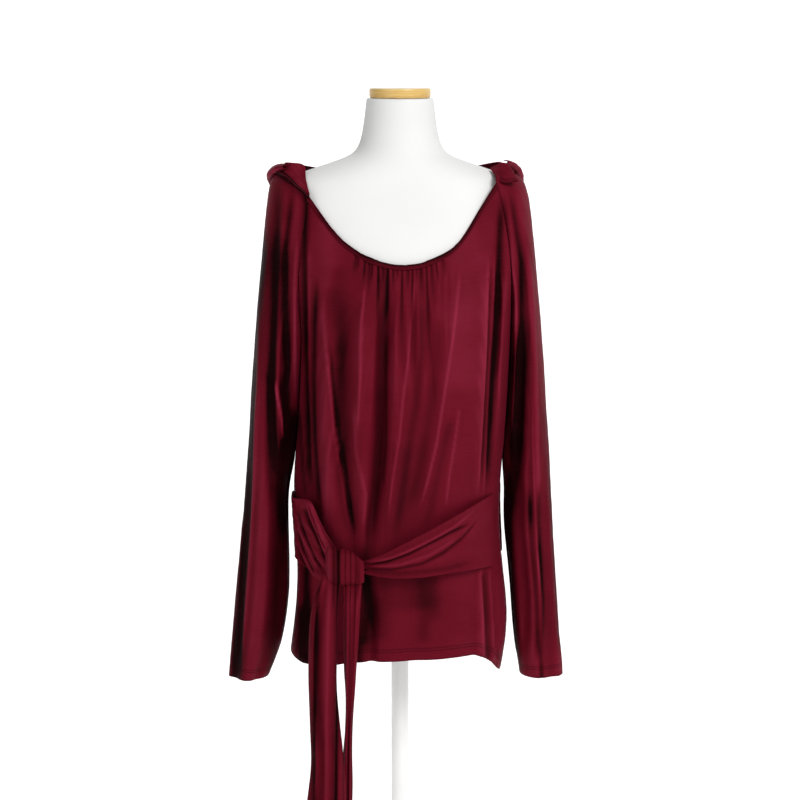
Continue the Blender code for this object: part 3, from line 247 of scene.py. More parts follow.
RIGHT_SLEEVE_CREASES = [
    Crease(-1, 0.0050, -0.0028, -1.00, [(1.370, -0.146), (1.276, -0.157), (1.181, -0.156), (1.111, -0.153),
                                        (1.040, -0.156), (0.975, -0.164)]),
    Crease(-1, 0.0020, 0.0014, 0.50, [(1.300, -0.139), (1.230, -0.144), (1.150, -0.144), (1.060, -0.145)]),
    Crease(-1, 0.0070, -0.0026, -0.85, [(1.385, -0.166), (1.250, -0.171), (1.166, -0.176), (1.069, -0.179),
                                        (0.980, -0.180), (0.900, -0.178)]),
    Crease(-1, 0.0026, 0.0014, 0.45, [(1.330, -0.158), (1.250, -0.164), (1.166, -0.166), (1.069, -0.169)]),
    Crease(-1, 0.0030, 0.0014, 0.40, [(1.280, -0.186), (1.204, -0.194), (1.068, -0.196), (0.926, -0.204),
                                      (0.800, -0.214), (0.700, -0.222)]),
    # Painted shade down the sleeve's outer back, the side away from the key light.
    Crease(-1, 0.0105, -0.0010, -1.50, [(1.340, -0.187), (1.275, -0.191), (1.180, -0.1995), (1.062, -0.2090),
                                       (0.980, -0.2130), (0.895, -0.2165), (0.847, -0.2210), (0.775, -0.2260),
                                       (0.705, -0.2310), (0.600, -0.2380)]),
    Crease(-1, 0.0018, 0.0014, 0.45, [(1.091, -0.1980), (1.034, -0.1999), (0.963, -0.2020), (0.920, -0.2038),
                                      (0.848, -0.2087), (0.776, -0.2144), (0.681, -0.2239)]),
    Crease(-1, 0.0110, 0.0, -0.72, [(1.320, -0.166), (1.204, -0.166), (1.135, -0.165), (1.065, -0.168),
                                    (0.994, -0.166), (0.937, -0.160), (0.850, -0.156)]),
    Crease(-1, 0.0060, -0.0024, -0.95, [(1.110, -0.162), (1.051, -0.156), (1.008, -0.153), (0.966, -0.153),
                                        (0.880, -0.155)]),
    Crease(-1, 0.0050, -0.0024, -0.80, [(1.120, -0.181), (1.065, -0.179), (1.022, -0.175), (0.960, -0.169)]),
    Crease(-1, 0.0026, 0.0022, 1.30, [(1.100, -0.172), (1.072, -0.168), (1.044, -0.163), (1.010, -0.160)]),
    Crease(0, 0.0120, -0.0010, -0.95, [(1.010, -0.156), (0.937, -0.162), (0.895, -0.166), (0.780, -0.172),
                                       (0.700, -0.178), (0.620, -0.180)]),
    Crease(0, 0.0060, 0.0, -0.90, [(1.060, -0.146), (0.985, -0.145), (0.930, -0.146)]),
    Crease(-1, 0.0060, 0.0, -1.00, [(1.390, -0.125), (1.220, -0.131), (1.099, -0.130), (0.973, -0.127)]),
    Crease(-1, 0.0024, 0.0012, 0.40, [(0.900, -0.222), (0.820, -0.226), (0.740, -0.230), (0.680, -0.232)]),
    Crease(1, 0.0060, -0.0022, -0.70, [(1.320, -0.160), (1.200, -0.172), (1.060, -0.182), (0.940, -0.190)]),
    Crease(1, 0.0040, 0.0015, 0.45, [(1.000, -0.200), (0.860, -0.210), (0.740, -0.216)]),
    Crease(1, 0.0060, -0.0018, -0.60, [(0.900, -0.196), (0.820, -0.204), (0.730, -0.210)]),
]
LEFT_SLEEVE_CREASES = [
    Crease(-1, 0.0050, -0.0026, -1.00, [(1.370, 0.148), (1.263, 0.166), (1.180, 0.167), (1.097, 0.166),
                                        (1.040, 0.164), (0.975, 0.162)]),
    Crease(-1, 0.0034, -0.0018, -0.80, [(1.360, 0.141), (1.208, 0.152), (1.097, 0.147), (1.010, 0.146)]),
    Crease(-1, 0.0020, 0.0014, 0.50, [(1.290, 0.149), (1.208, 0.158), (1.110, 0.157), (1.020, 0.154)]),
    Crease(-1, 0.0030, 0.0014, 0.40, [(1.290, 0.172), (1.207, 0.182), (1.070, 0.187), (0.940, 0.192),
                                      (0.850, 0.196)]),
    Crease(-1, 0.0060, -0.0018, -0.55, [(1.200, 0.176), (1.080, 0.179), (0.960, 0.181), (0.870, 0.184)]),
    # Painted shade on the sleeve's inner side, where it faces the body.
    Crease(0, 0.0105, -0.0018, -1.50, [(1.190, 0.1610), (1.093, 0.1605), (1.040, 0.1600), (0.980, 0.1590),
                                       (0.940, 0.1545), (0.895, 0.1500), (0.837, 0.1505), (0.780, 0.1530),
                                       (0.705, 0.1585), (0.600, 0.1620)]),
    Crease(0, 0.0032, -0.0006, -0.95, [(0.960, 0.1925), (0.895, 0.1935), (0.780, 0.2005), (0.705, 0.1995),
                                       (0.620, 0.2010)]),
    Crease(-1, 0.0016, 0.0012, 0.45, [(1.090, 0.1819), (1.008, 0.1832), (0.923, 0.1875), (0.837, 0.1925),
                                      (0.780, 0.1958), (0.680, 0.1998)]),
    Crease(-1, 0.0120, 0.0, -0.28, [(1.100, 0.200), (0.976, 0.205), (0.890, 0.210), (0.804, 0.214),
                                    (0.690, 0.218)]),
    Crease(-1, 0.0050, 0.0, -0.80, [(1.360, 0.1380), (1.220, 0.1330), (1.157, 0.1300), (1.050, 0.1240)]),
    Crease(-1, 0.0050, -0.0020, -0.75, [(0.950, 0.178), (0.860, 0.184), (0.782, 0.192), (0.688, 0.194)]),
    Crease(-1, 0.0020, 0.0014, 0.50, [(0.860, 0.190), (0.782, 0.199), (0.720, 0.2005), (0.676, 0.201)]),
    Crease(0, 0.0080, -0.0012, -0.45, [(1.000, 0.212), (0.900, 0.217), (0.800, 0.224), (0.690, 0.231)]),
    Crease(1, 0.0060, -0.0022, -0.70, [(1.320, 0.160), (1.200, 0.172), (1.060, 0.176), (0.940, 0.180)]),
    Crease(1, 0.0040, 0.0015, 0.45, [(1.000, 0.190), (0.860, 0.198), (0.740, 0.204)]),
]
SASH_CREASES = [
    Crease(0, 0.0022, -0.0022, -1.00, [(-0.055, 0.852), (-0.020, 0.858), (0.010, 0.869), (0.040, 0.884),
                                       (0.070, 0.898), (0.100, 0.908)]),
    Crease(0, 0.0026, -0.0018, -0.75, [(-0.055, 0.848), (-0.010, 0.848), (0.030, 0.856), (0.060, 0.870),
                                       (0.085, 0.887), (0.112, 0.915)]),
    Crease(0, 0.0022, 0.0013, 0.45, [(-0.050, 0.855), (-0.010, 0.865), (0.030, 0.883), (0.070, 0.903),
                                     (0.105, 0.926)]),
    Crease(0, 0.0026, 0.0012, 0.35, [(-0.050, 0.850), (0.000, 0.855), (0.040, 0.868), (0.080, 0.890)]),
    Crease(0, 0.0030, -0.0008, -0.30, [(-0.045, 0.844), (0.000, 0.843), (0.050, 0.846), (0.100, 0.852)]),
]
COIL_CREASES = [
    Crease(0, 0.0022, -0.0026, -1.00, [(0.918, -0.143), (0.897, -0.137), (0.875, -0.127), (0.853, -0.116),
                                       (0.838, -0.104)]),
    Crease(0, 0.0020, -0.0022, -0.90, [(0.890, -0.143), (0.868, -0.136), (0.850, -0.127), (0.832, -0.117)]),
    Crease(0, 0.0020, -0.0022, -0.90, [(0.926, -0.134), (0.905, -0.125), (0.885, -0.115), (0.863, -0.106),
                                       (0.848, -0.098)]),
    Crease(0, 0.0018, -0.0020, -0.90, [(0.866, -0.144), (0.852, -0.138), (0.840, -0.131), (0.828, -0.122)]),
    Crease(0, 0.0024, 0.0016, 0.45, [(0.905, -0.142), (0.882, -0.134), (0.860, -0.123), (0.840, -0.111)]),
    Crease(0, 0.0060, 0.0030, 0.40, [(0.936, -0.127), (0.918, -0.120), (0.900, -0.113), (0.882, -0.106),
                                     (0.862, -0.097)]),
    Crease(0, 0.0014, -0.0018, -0.80, [(0.932, -0.126), (0.912, -0.118), (0.892, -0.110), (0.868, -0.100)]),
    Crease(0, 0.0016, -0.0026, -1.00, [(0.930, -0.131), (0.905, -0.1215), (0.885, -0.113), (0.862, -0.104)]),
]
# Upright pleats that the knot and both tie ends share
TIE_CREASES = [
    Crease(0, 0.0030, -0.0012, -0.75, [(0.980, -0.1080), (0.840, -0.1100), (0.780, -0.1130), (0.654, -0.1165),
                                       (0.360, -0.1200)]),
    Crease(0, 0.0060, 0.0, -0.50, [(0.940, -0.114), (0.740, -0.117), (0.654, -0.118), (0.360, -0.124)]),
    Crease(0, 0.0026, 0.0010, 0.30, [(0.980, -0.0955), (0.850, -0.0960), (0.740, -0.0985), (0.654, -0.100),
                                     (0.360, -0.104)]),
    Crease(0, 0.0020, -0.0030, -1.00, [(0.980, -0.0825), (0.853, -0.0830), (0.740, -0.0822), (0.654, -0.0846),
                                       (0.360, -0.0910)]),
    Crease(0, 0.0055, 0.0, -0.60, [(0.980, -0.0850), (0.740, -0.0860), (0.654, -0.0880), (0.360, -0.0940)]),
    Crease(0, 0.0012, -0.0009, -0.50, [(0.980, -0.0735), (0.839, -0.0742), (0.740, -0.0746), (0.654, -0.0763),
                                       (0.360, -0.0800)]),
    Crease(0, 0.0012, -0.0009, -0.55, [(0.980, -0.0665), (0.839, -0.0674), (0.740, -0.0684), (0.654, -0.0700),
                                       (0.360, -0.0745)]),
    Crease(0, 0.0011, -0.0008, -0.45, [(0.980, -0.0595), (0.839, -0.0605), (0.740, -0.0628), (0.654, -0.0652),
                                       (0.360, -0.0700)]),
    Crease(0, 0.0013, -0.0009, -0.50, [(0.980, -0.0910), (0.839, -0.0905), (0.790, -0.0905)]),
]

# Front ends of the hood, beside the neck: rows from the sleeve's neck edge to the free edge.
RIGHT_LEAF = [
    [(-0.170, -0.024, 1.378), (-0.166, -0.014, 1.385), (-0.157, -0.030, 1.3925)],
    [(-0.160, -0.045, 1.375), (-0.153, -0.036, 1.381), (-0.142, -0.033, 1.3935)],
    [(-0.151, -0.057, 1.369), (-0.143, -0.042, 1.376), (-0.1285, -0.018, 1.3905)],
    [(-0.143, -0.065, 1.362), (-0.136, -0.050, 1.367), (-0.1295, -0.036, 1.376)],
    [(-0.133, -0.069, 1.355), (-0.129, -0.058, 1.359), (-0.1265, -0.050, 1.365)],
    [(-0.124, -0.071, 1.346), (-0.1225, -0.067, 1.349), (-0.1225, -0.060, 1.353)],
]
LEFT_LEAF = [
    [(0.160, -0.056, 1.369), (0.1570, -0.047, 1.375), (0.1560, -0.034, 1.3825)],
    [(0.1500, -0.061, 1.368), (0.1490, -0.050, 1.378), (0.1475, -0.034, 1.3940)],
    [(0.1370, -0.060, 1.367), (0.1365, -0.046, 1.379), (0.1370, -0.030, 1.3935)],
    [(0.1310, -0.054, 1.371), (0.1275, -0.036, 1.380), (0.1230, -0.018, 1.3850)],
]

# Gathers under the neckline: x at the top and a length further down, the length, half the width and the tone
# of their painted shade.
Gather = namedtuple("Gather", "top low length half_width tone")
GATHERS = [
    Gather(-0.0598, -0.0630, 0.026, 0.0026, -0.35), Gather(-0.0560, -0.0575, 0.016, 0.0014, -0.45),
    Gather(-0.0470, -0.0505, 0.038, 0.0018, -0.55), Gather(-0.0415, -0.0430, 0.050, 0.0028, -0.40),
    Gather(-0.0372, -0.0385, 0.030, 0.0013, -0.60), Gather(-0.0290, -0.0300, 0.085, 0.0022, -0.70),
    Gather(-0.0225, -0.0240, 0.050, 0.0032, -0.45), Gather(-0.0165, -0.0185, 0.100, 0.0026, -0.70),
    Gather(-0.0090, -0.0102, 0.032, 0.0015, -0.55), Gather(-0.0040, -0.0040, 0.022, 0.0022, -0.35),
    Gather(0.0028, 0.0016, 0.120, 0.0019, -0.55), Gather(0.0105, 0.0094, 0.036, 0.0026, -0.42),
    Gather(0.0168, 0.0150, 0.120, 0.0016, -0.60), Gather(0.0222, 0.0220, 0.024, 0.0020, -0.35),
    Gather(0.0277, 0.0292, 0.050, 0.0028, -0.50), Gather(0.0352, 0.0397, 0.125, 0.0018, -0.55),
    Gather(0.0418, 0.0452, 0.060, 0.0024, -0.45), Gather(0.0480, 0.0520, 0.034, 0.0014, -0.55),
    Gather(0.0565, 0.0610, 0.024, 0.0026, -0.35),
]


# Numbers along and across the cloth

def eased(x):
    """Smooth step: 0 below 0, 1 above 1, 3x2 - 2x3 between."""
    x = np.clip(x, 0.0, 1.0)
    return x * x * (3 - 2 * x)


def crease_field(points, crease, level):
    """Share of one crease at each point: a bell across its path that fades out over an eighth at each end.

    The path gives one coordinate as a function of the other.
    """
    along, across = (points[:, 0], points[:, 2]) if level else (points[:, 2], points[:, 0])
    path = np.array(sorted(crease.points))
    start, stop = path[0, 0], path[-1, 0]
    middle = np.interp(along, path[:, 0], path[:, 1])
    fade = CREASE_FADE * (stop - start)
    ends = eased((along - start) / fade) * eased((stop - along) / fade)
    off = (across - middle) / crease.half_width
    return np.exp(-off * off) * ends


def gather_field(points):
    """Height and painted shade of the gathers: narrow bells that start at the binding and thin out downwards.
    """
    x, z = points[:, 0], points[:, 2]
    neck = NECK_LOW + NECK_RISE * (x - NECK_MIDDLE) ** 2
    height = np.zeros(len(points))
    tone = np.zeros(len(points))
    for gather in GATHERS:
        down = (neck - z) / gather.length
        path = gather.top + (gather.low - gather.top) * down
        width = gather.half_width * (0.8 + 0.7 * np.clip(down, 0, 1))
        share = np.exp(-((x - path) / width) ** 2) * (down > -0.5) * eased(1.15 - down)
        height -= GATHER_DEPTH * gather.half_width * share
        tone += GATHER_TONE * gather.tone * share
    return height, tone


def nearest(points, targets, chunk=800):
    """Distance from each point to the nearest target, in slices so that the table stays small."""
    if len(targets) == 0:
        return np.full(len(points), FAR)
    parts = []
    for start in range(0, len(points), chunk):
        gap = points[start:start + chunk, None, :] - targets[None, :, :]
        parts.append(np.sqrt((gap * gap).sum(axis=2).min(axis=1)))
    return np.concatenate(parts)


def ripple(points, scale, seed):
    """Soft unevenness from -1 to 1: a sum of five turned sine waves of about scale radians to a metre."""
    draw = np.random.default_rng(seed)
    total = np.zeros(len(points))
    for octave in range(5):
        turn = draw.normal(size=3) * scale * (1 + 0.5 * octave)
        total += np.sin(points @ turn + draw.uniform(0, 2 * math.pi)) / 5
    return total


# Meshes

def welded(node):
    """Copy of a CAD node with shared vertices."""
    bm = bmesh.new()
    bm.from_mesh(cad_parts[node].data)
    bmesh.ops.remove_doubles(bm, verts=bm.verts, dist=WELD)
    bm.normal_update()
    return bm


def cloth_sides(bm, thickness):
    """Both sides of a cloth wall, widest first: groups of faces that meet without crossing the wall's rim.

    A rim face has an edge as long as the wall is thick. A ray into the wall from a side soon meets the
    other side, which faces the other way. A face that only one side surrounds belongs to that side. The
    tie ends are folded strips, and are parted by their rims alone.
    """
    tree = BVHTree.FromBMesh(bm)
    left = set()
    for face in bm.faces:
        start = face.calc_center_median() - face.normal * RAY_START
        place, normal, _, depth = tree.ray_cast(start, -face.normal)
        on_rim = any(abs(edge.calc_length() - thickness) < WALL_PLAY for edge in face.edges)
        opposed = place is not None and depth < WALL_REACH and normal.dot(face.normal) < OPPOSED
        if not on_rim and (opposed or thickness == TIE_WALL):
            left.add(face)
    rim = set(bm.faces) - left
    sides = []
    while left:
        side = [left.pop()]
        for face in side:
            for edge in face.edges:
                for other in edge.link_faces:
                    if other in left:
                        left.remove(other)
                        side.append(other)
        sides.append(set(side))
    for face in rim:
        around = {other for edge in face.edges for other in edge.link_faces if other is not face}
        for side in sides[:]:
            if around <= side:
                side.add(face)
    return sorted(sides, key=lambda side: -sum(face.calc_area() for face in side))


def outer_side(bm, inside, thickness):
    """Keeps the side of a cloth wall that looks away from the line x, y = inside."""
    sides = cloth_sides(bm, thickness)
    if len(sides) < 2:
        raise RuntimeError("a cloth wall has one side only")

    def looks_out(side):
        total = 0.0
        for face in side:
            centre = face.calc_center_median()
            total += face.calc_area() * (face.normal.x * (centre.x - inside[0]) +
                                         face.normal.y * (centre.y - inside[1]))
        return total

    keep = max(sides[:2], key=looks_out)
    bmesh.ops.delete(bm, geom=[face for face in bm.faces if face not in keep], context="FACES")
    return bm


def rounded(bm, name, levels, crisp=False, cuts=0):
    """Object of the mesh, its triangles joined into quads where they lie nearly flat, then subdivided.

    With crisp, sharp edges stay sharp, and cuts divide the level edges.
    """
    bmesh.ops.join_triangles(bm, faces=bm.faces, angle_face_threshold=PAIR_ANGLE,
                             angle_shape_threshold=PAIR_SHAPE)
    if cuts:
        flat = [edge for edge in bm.edges
                if abs(edge.verts[0].co.z - edge.verts[1].co.z) < LEVEL_SLOPE * edge.calc_length()]
        bmesh.ops.subdivide_edges(bm, edges=flat, cuts=cuts, use_grid_fill=True)
    if crisp:
        layer = bm.edges.layers.float.new("crease_edge")
        for edge in bm.edges:
            if len(edge.link_faces) == 2 and edge.calc_face_angle(0.0) > CRISP_ANGLE:
                edge[layer] = CRISP_SHARE
    mesh = bpy.data.meshes.new(name)
    bm.to_mesh(mesh)
    bm.free()
    piece = bpy.data.objects.new(name, mesh)
    bpy.context.scene.collection.objects.link(piece)
    shape = piece.modifiers.new("Round", "SUBSURF")
    shape.levels = shape.render_levels = levels
    shape.boundary_smooth = "PRESERVE_CORNERS"
    scene_graph = bpy.context.evaluated_depsgraph_get()
    fine = bpy.data.meshes.new_from_object(piece.evaluated_get(scene_graph))
    piece.modifiers.clear()
    piece.data = fine
    bpy.data.meshes.remove(mesh)
    fine.name = name
    fine.materials.clear()
    fine.shade_smooth()
    return piece


def read(piece):
    """Points and vertex normals of a piece as arrays."""
    mesh = piece.data
    points = np.zeros(len(mesh.vertices) * 3)
    mesh.vertices.foreach_get("co", points)
    normals = np.zeros(len(mesh.vertices) * 3)
    mesh.vertex_normals.foreach_get("vector", normals)
    return points.reshape(-1, 3), normals.reshape(-1, 3)


def move(piece, points):
    """Writes points back to a piece."""
    piece.data.vertices.foreach_set("co", points.ravel())
    piece.data.update()


def edge_ends(piece):
    """The two vertices of each mesh edge, one edge a row."""
    ends = np.zeros(len(piece.data.edges) * 2, dtype=np.int64)
    piece.data.edges.foreach_get("vertices", ends)
    return ends.reshape(-1, 2)


def open_edge(piece):
    """Which vertices lie on the open edge of a piece."""
    mesh = piece.data
    used = np.zeros(len(mesh.loops), dtype=np.int64)
    mesh.loops.foreach_get("edge_index", used)
    single = np.bincount(used, minlength=len(mesh.edges)) == 1
    mask = np.zeros(len(mesh.vertices), dtype=bool)
    mask[edge_ends(piece)[single].ravel()] = True
    return mask


def edge_places(piece, kept):
    """Places along the open edge, three to a mesh edge, where both of its ends are kept."""
    points, _ = read(piece)
    ends = edge_ends(piece)
    first, second = ends[kept[ends].all(axis=1)].T
    step = points[second] - points[first]
    return np.concatenate([points[first] + share * step for share in (0, 1 / 3, 2 / 3)])


def outward(piece, edge):
    """Unit direction from the cloth out over its open edge at each edge point, zero elsewhere."""
    points, _ = read(piece)
    first, second = edge_ends(piece).T
    crossing = edge[first] != edge[second]
    rim = np.where(edge[first], first, second)[crossing]
    inner = np.where(edge[first], second, first)[crossing]
    step = points[rim] - points[inner]
    total = np.stack([np.bincount(rim, step[:, k], len(points)) for k in range(3)], axis=1)
    return total / (np.linalg.norm(total, axis=1) + 1e-9)[:, None]


def hollow(piece, rounds, run):
    """How far each point stands out from its surroundings, in metres, negative in a valley.

    The surroundings are the points averaged over their neighbours again and again, across the folds,
    which run along the direction run.
    """
    first, second = edge_ends(piece).T
    points, normals = read(piece)
    step = points[second] - points[first]
    length = np.linalg.norm(step, axis=1) + 1e-9
    share = 1.0 - (step @ np.array(run) / length) ** 2 + 0.02
    size = len(points)
    weight = np.bincount(first, share, size) + np.bincount(second, share, size)
    soft = points.copy()
    for _ in range(rounds):
        total = np.stack([np.bincount(first, share * soft[second, k], size) +
                          np.bincount(second, share * soft[first, k], size) for k in range(3)], axis=1)
        soft = 0.4 * soft + 0.6 * total / weight[:, None]
    stand = ((points - soft) * normals).sum(axis=1)
    stand[open_edge(piece)] = 0.0
    return stand


def set_value(piece, name, values):
    """Stores one number a vertex under a name that materials read."""
    layer = piece.data.attributes.new(name, "FLOAT", "POINT")
    layer.data.foreach_set("value", values.astype(np.float32))


def set_grain(piece, across, along):
    """UV map in metres: across the wales of the knit and along them."""
    mesh = piece.data
    corner = np.zeros(len(mesh.loops), dtype=np.int64)
    mesh.loops.foreach_get("vertex_index", corner)
    layer = mesh.uv_layers.new(name="grain")
    layer.data.foreach_set("uv", np.stack([across[corner], along[corner]], axis=1).astype(np.float32).ravel())


def thicken(piece, thickness):
    """Gives the outer side its cloth thickness, inwards."""
    wall = piece.modifiers.new("Cloth", "SOLIDIFY")
    wall.thickness = thickness
    wall.offset = -1.0


def store(piece, painted_fold_shading, hem, seam, across, along):
    """Stores all that the jersey reads: the folds' painted shade and highlight, the distances to a hem and a
    seam, and the grain.
    """
    set_value(piece, "painted_fold_shading", np.clip(painted_fold_shading, -1, 1))
    set_value(piece, "hem", hem)
    set_value(piece, "seam", seam)
    set_grain(piece, across, along)


def store_plain(piece, painted_fold_shading, across, along):
    """The same for a piece that has no hem and no seam."""
    far = np.full(len(painted_fold_shading), FAR)
    store(piece, painted_fold_shading, far, far, across, along)


def sew(piece, is_free, hem, across, along, extra, run=(0, 0, 1)):
    """Moves a piece's points along their normals by its creases and seams, and stores what the jersey reads.

    An edge is a seam where is_free doesn't hold. Creases fade towards a seam, where the cloth dips a little
    and is let out so that neighbours meet. The stored painted shading adds the creases' painted shade and
    highlight to painted shade and highlight by how deep the piece's own folds lie, and run is the direction
    of these.
    """
    points, normals = read(piece)
    edge = open_edge(piece)
    free = edge & is_free(points)
    seam_gap = nearest(points, edge_places(piece, edge & ~free))
    hem_gap = nearest(points, edge_places(piece, free)) if hem else np.full(len(points), FAR)
    height, tone = extra(points)
    depth = hollow(piece, FOLD_ROUNDS, run) / FOLD_DEPTH
    dip = -SEAM_DIP * np.exp(-(seam_gap / SEAM_DIP_WIDTH) ** 2)
    let_out = outward(piece, edge & ~free) * SEAM_LET_OUT
    move(piece, points + normals * (height * eased(seam_gap / SEAM_CLEAR) + dip)[:, None] + let_out)
    # Painted shade in the folds' valleys and painted highlight on their crests, with the creases' own.
    painted_fold_shading = FOLD_SHARE * np.clip(depth, -1, 1) + tone
    store(piece, painted_fold_shading, hem_gap, seam_gap, across(points), along(points))


# Materials

class Number:
    """A shader socket that Python's arithmetic turns into Math nodes."""

    def __init__(self, shader, socket):
        self.shader = shader
        self.socket = socket

    def _math(self, operation, first, second):
        return self.shader.node("ShaderNodeMath", {"operation": operation}, {0: first, 1: second})

    def __add__(self, other):
        return self._math("ADD", self, other)

    def __radd__(self, other):
        return self._math("ADD", other, self)

    def __sub__(self, other):
        return self._math("SUBTRACT", self, other)

    def __rsub__(self, other):
        return self._math("SUBTRACT", other, self)

    def __mul__(self, other):
        return self._math("MULTIPLY", self, other)

    def __rmul__(self, other):
        return self._math("MULTIPLY", other, self)

    def __abs__(self):
        return self.shader.node("ShaderNodeMath", {"operation": "ABSOLUTE"}, {0: self})


class Shader:
    """One material and the nodes that feed its Principled shader."""

    def __init__(self, name, fixed):
        self.material = bpy.data.materials.new(name)
        self.material.use_nodes = True
        self.tree = self.material.node_tree
        self.surface = self.tree.nodes["Principled BSDF"]
        for socket, value in fixed.items():
            self.surface.inputs[socket].default_value = value

    def node(self, kind, settings, sockets, out=0):
        """A node of this type: its settings first, then the values or links of its sockets."""
        made = self.tree.nodes.new(kind)
        for key, value in settings.items():
            setattr(made, key, value)
        for key, value in sockets.items():
            self.feed(made.inputs[key], value)
        return Number(self, made.outputs[out])

    def feed(self, socket, value):
        """Links a wrapped socket, or sets a plain value."""
        if isinstance(value, Number):
            self.tree.links.new(value.socket, socket)
        else:
            socket.default_value = value

    def drive(self, name, value):
        """Feeds one of the surface's sockets."""
        self.feed(self.surface.inputs[name], value)

    def value(self, name):
        """A number stored on the mesh."""
        return self.node("ShaderNodeAttribute", {"attribute_name": name}, {}, out=2)

    def mix(self, share, first, second):
        """Colour between two colours."""
        sockets = {0: share, 6: first, 7: second}
        return self.node("ShaderNodeMix", {"data_type": "RGBA"}, sockets, out=2)

    def ramp(self, value, low, high):
        """0 at low, 1 at high, straight between."""
        return self.node("ShaderNodeMapRange", {}, {0: value, 1: low, 2: high, 3: 0.0, 4: 1.0})

    def noise(self, vector, scale, detail, stretch=(1, 1, 1)):
        """Noise from 0 to 1, of scale times stretch features to a metre along each axis."""
        placed = self.node("ShaderNodeMapping", {}, {0: vector, 3: stretch})
        return self.node("ShaderNodeTexNoise", {}, {"Vector": placed, "Scale": scale, "Detail": detail})

    def wave(self, value, pitch):
        """Sine wave of a length in metres."""
        return self.node("ShaderNodeMath", {"operation": "SINE"}, {0: value * (2 * math.pi / pitch)})

    def bump(self, height, strength):
        """Normal from a height in metres."""
        return self.node("ShaderNodeBump", {}, {"Height": height, "Distance": 1.0, "Strength": strength})

    def place(self):
        """Place in the object, in metres."""
        return self.node("ShaderNodeTexCoord", {}, {}, out=3)

    def part(self, vector, index):
        """One part of a vector: 0 is x, 1 is y and 2 is z."""
        return self.node("ShaderNodeSeparateXYZ", {}, {0: vector}, out=index)


def rgb(colour, share=1.0):
    """Colour with full alpha, darkened to a share of itself."""
    return (*(share * c for c in colour), 1.0)


def jersey(settings):
    """Fine wine jersey: wales and courses, cross streaks, painted highlight on ridges and painted shade in
    folds, hem stitching and soft sheen.
    """
    shader = Shader("wine_jersey_knit", {
        "Roughness": 0.55, "Sheen Weight": settings.sheen, "Sheen Roughness": 0.42,
        "Sheen Tint": rgb(settings.sheen_colour), "Specular IOR Level": 0.02,
    })
    place = shader.node("ShaderNodeUVMap", {"uv_map": "grain"}, {})
    across = shader.part(place, 0)
    along = shader.part(place, 1)
    painted_fold_shading = shader.value("painted_fold_shading")
    hem = shader.value("hem")
    seam = shader.value("seam")
    streaks = shader.noise(place, 1.0, 3.0, (60, 900, 1))
    cloud = shader.noise(place, 14.0, 2.0)
    # Painted shade and highlight of the folds with random streaks and clouds: below 0 the jersey leans to the
    # painted shade colour, above 0 to the painted highlight colour.
    uneven_with_painted_shading = painted_fold_shading + (streaks - 0.5) * STREAK_TONE + (cloud - 0.5) * CLOUD_TONE
    shade = shader.ramp(uneven_with_painted_shading, -1.0, 0.0)
    pale = shader.ramp(uneven_with_painted_shading, 0.0, 1.0)
    colour = shader.mix(shade, rgb(settings.painted_shade_colour), rgb(settings.cloth_colour))
    colour = shader.mix(pale, colour, rgb(settings.painted_highlight_colour))
    first_row = 1 - shader.ramp(abs(hem - settings.hem_depth), *THREAD)
    second_row = 1 - shader.ramp(abs(hem - (settings.hem_depth + ROW_GAP)), *THREAD)
    rows = first_row + second_row
    seam_line = 1 - shader.ramp(seam, *SEAM_LINE)
    dark = shader.ramp(rows * STITCH_TONE + seam_line * SEAM_TONE, 0.0, 1.0)
    colour = shader.mix(dark, colour, rgb(settings.stitch_colour))
    shader.drive("Base Color", colour)
    wales = shader.wave(across, settings.knit_pitch)
    courses = shader.wave(along, settings.knit_pitch * COURSE_SHARE)
    dashes = shader.ramp(shader.wave(across, STITCH_PITCH), -0.4, 0.4)
    knit = wales * courses * KNIT_HEIGHT + streaks * STREAK_HEIGHT
    height = knit - rows * dashes * STITCH_DEPTH - seam_line * SEAM_DEPTH
    shader.drive("Normal", shader.bump(height, 0.8))
    return shader.material


def form_cover(settings):
    """Matt white cover of the form: faint weave and soft marks, with painted shade a little deeper up the
    neck.
    """
    shader = Shader("form_white_cover", {"Roughness": 0.75, "Specular IOR Level": 0.25})
    place = shader.place()
    marks = shader.ramp(shader.noise(place, 9.0, 3.0), 0.35, 0.75)
    colour = shader.mix(marks, rgb(settings.cover_colour), rgb(settings.cover_colour, 0.965))
    # Painted shade: the cover darkens up the neck.
    neck = shader.ramp(shader.part(place, 2), *NECK_PAINTED_SHADE_SPAN)
    shader.drive("Base Color", shader.mix(neck, colour, rgb(settings.cover_colour, 0.92)))
    weave = shader.noise(place, 900.0, 1.0)
    shader.drive("Normal", shader.bump(weave * 0.00006, 0.7))
    return shader.material


def honey_wood(settings):
    """Satin honey wood: rings and long grain round the cap's edge, paler on its top."""
    shader = Shader("honey_wood_satin", {"Roughness": 0.38, "Coat Weight": 0.25, "Coat Roughness": 0.3})
    place = shader.place()
    grain = shader.noise(place, 1.0, 5.0, (18, 18, 420))
    fine = shader.noise(place, 1.0, 3.0, (60, 260, 900))
    share = shader.ramp(grain * 0.7 + fine * 0.3, 0.32, 0.68)
    colour = shader.mix(share, rgb(settings.wood_colour), rgb(settings.wood_light))
    cap_top = CAD_BOX[1][2]
    top = shader.ramp(shader.part(place, 2), cap_top - 0.0012, cap_top - 0.0002)
    shader.drive("Base Color", shader.mix(top * 0.8, colour, rgb(WOOD_TOP)))
    shader.drive("Normal", shader.bump(fine * 0.0001, 0.5))
    return shader.material


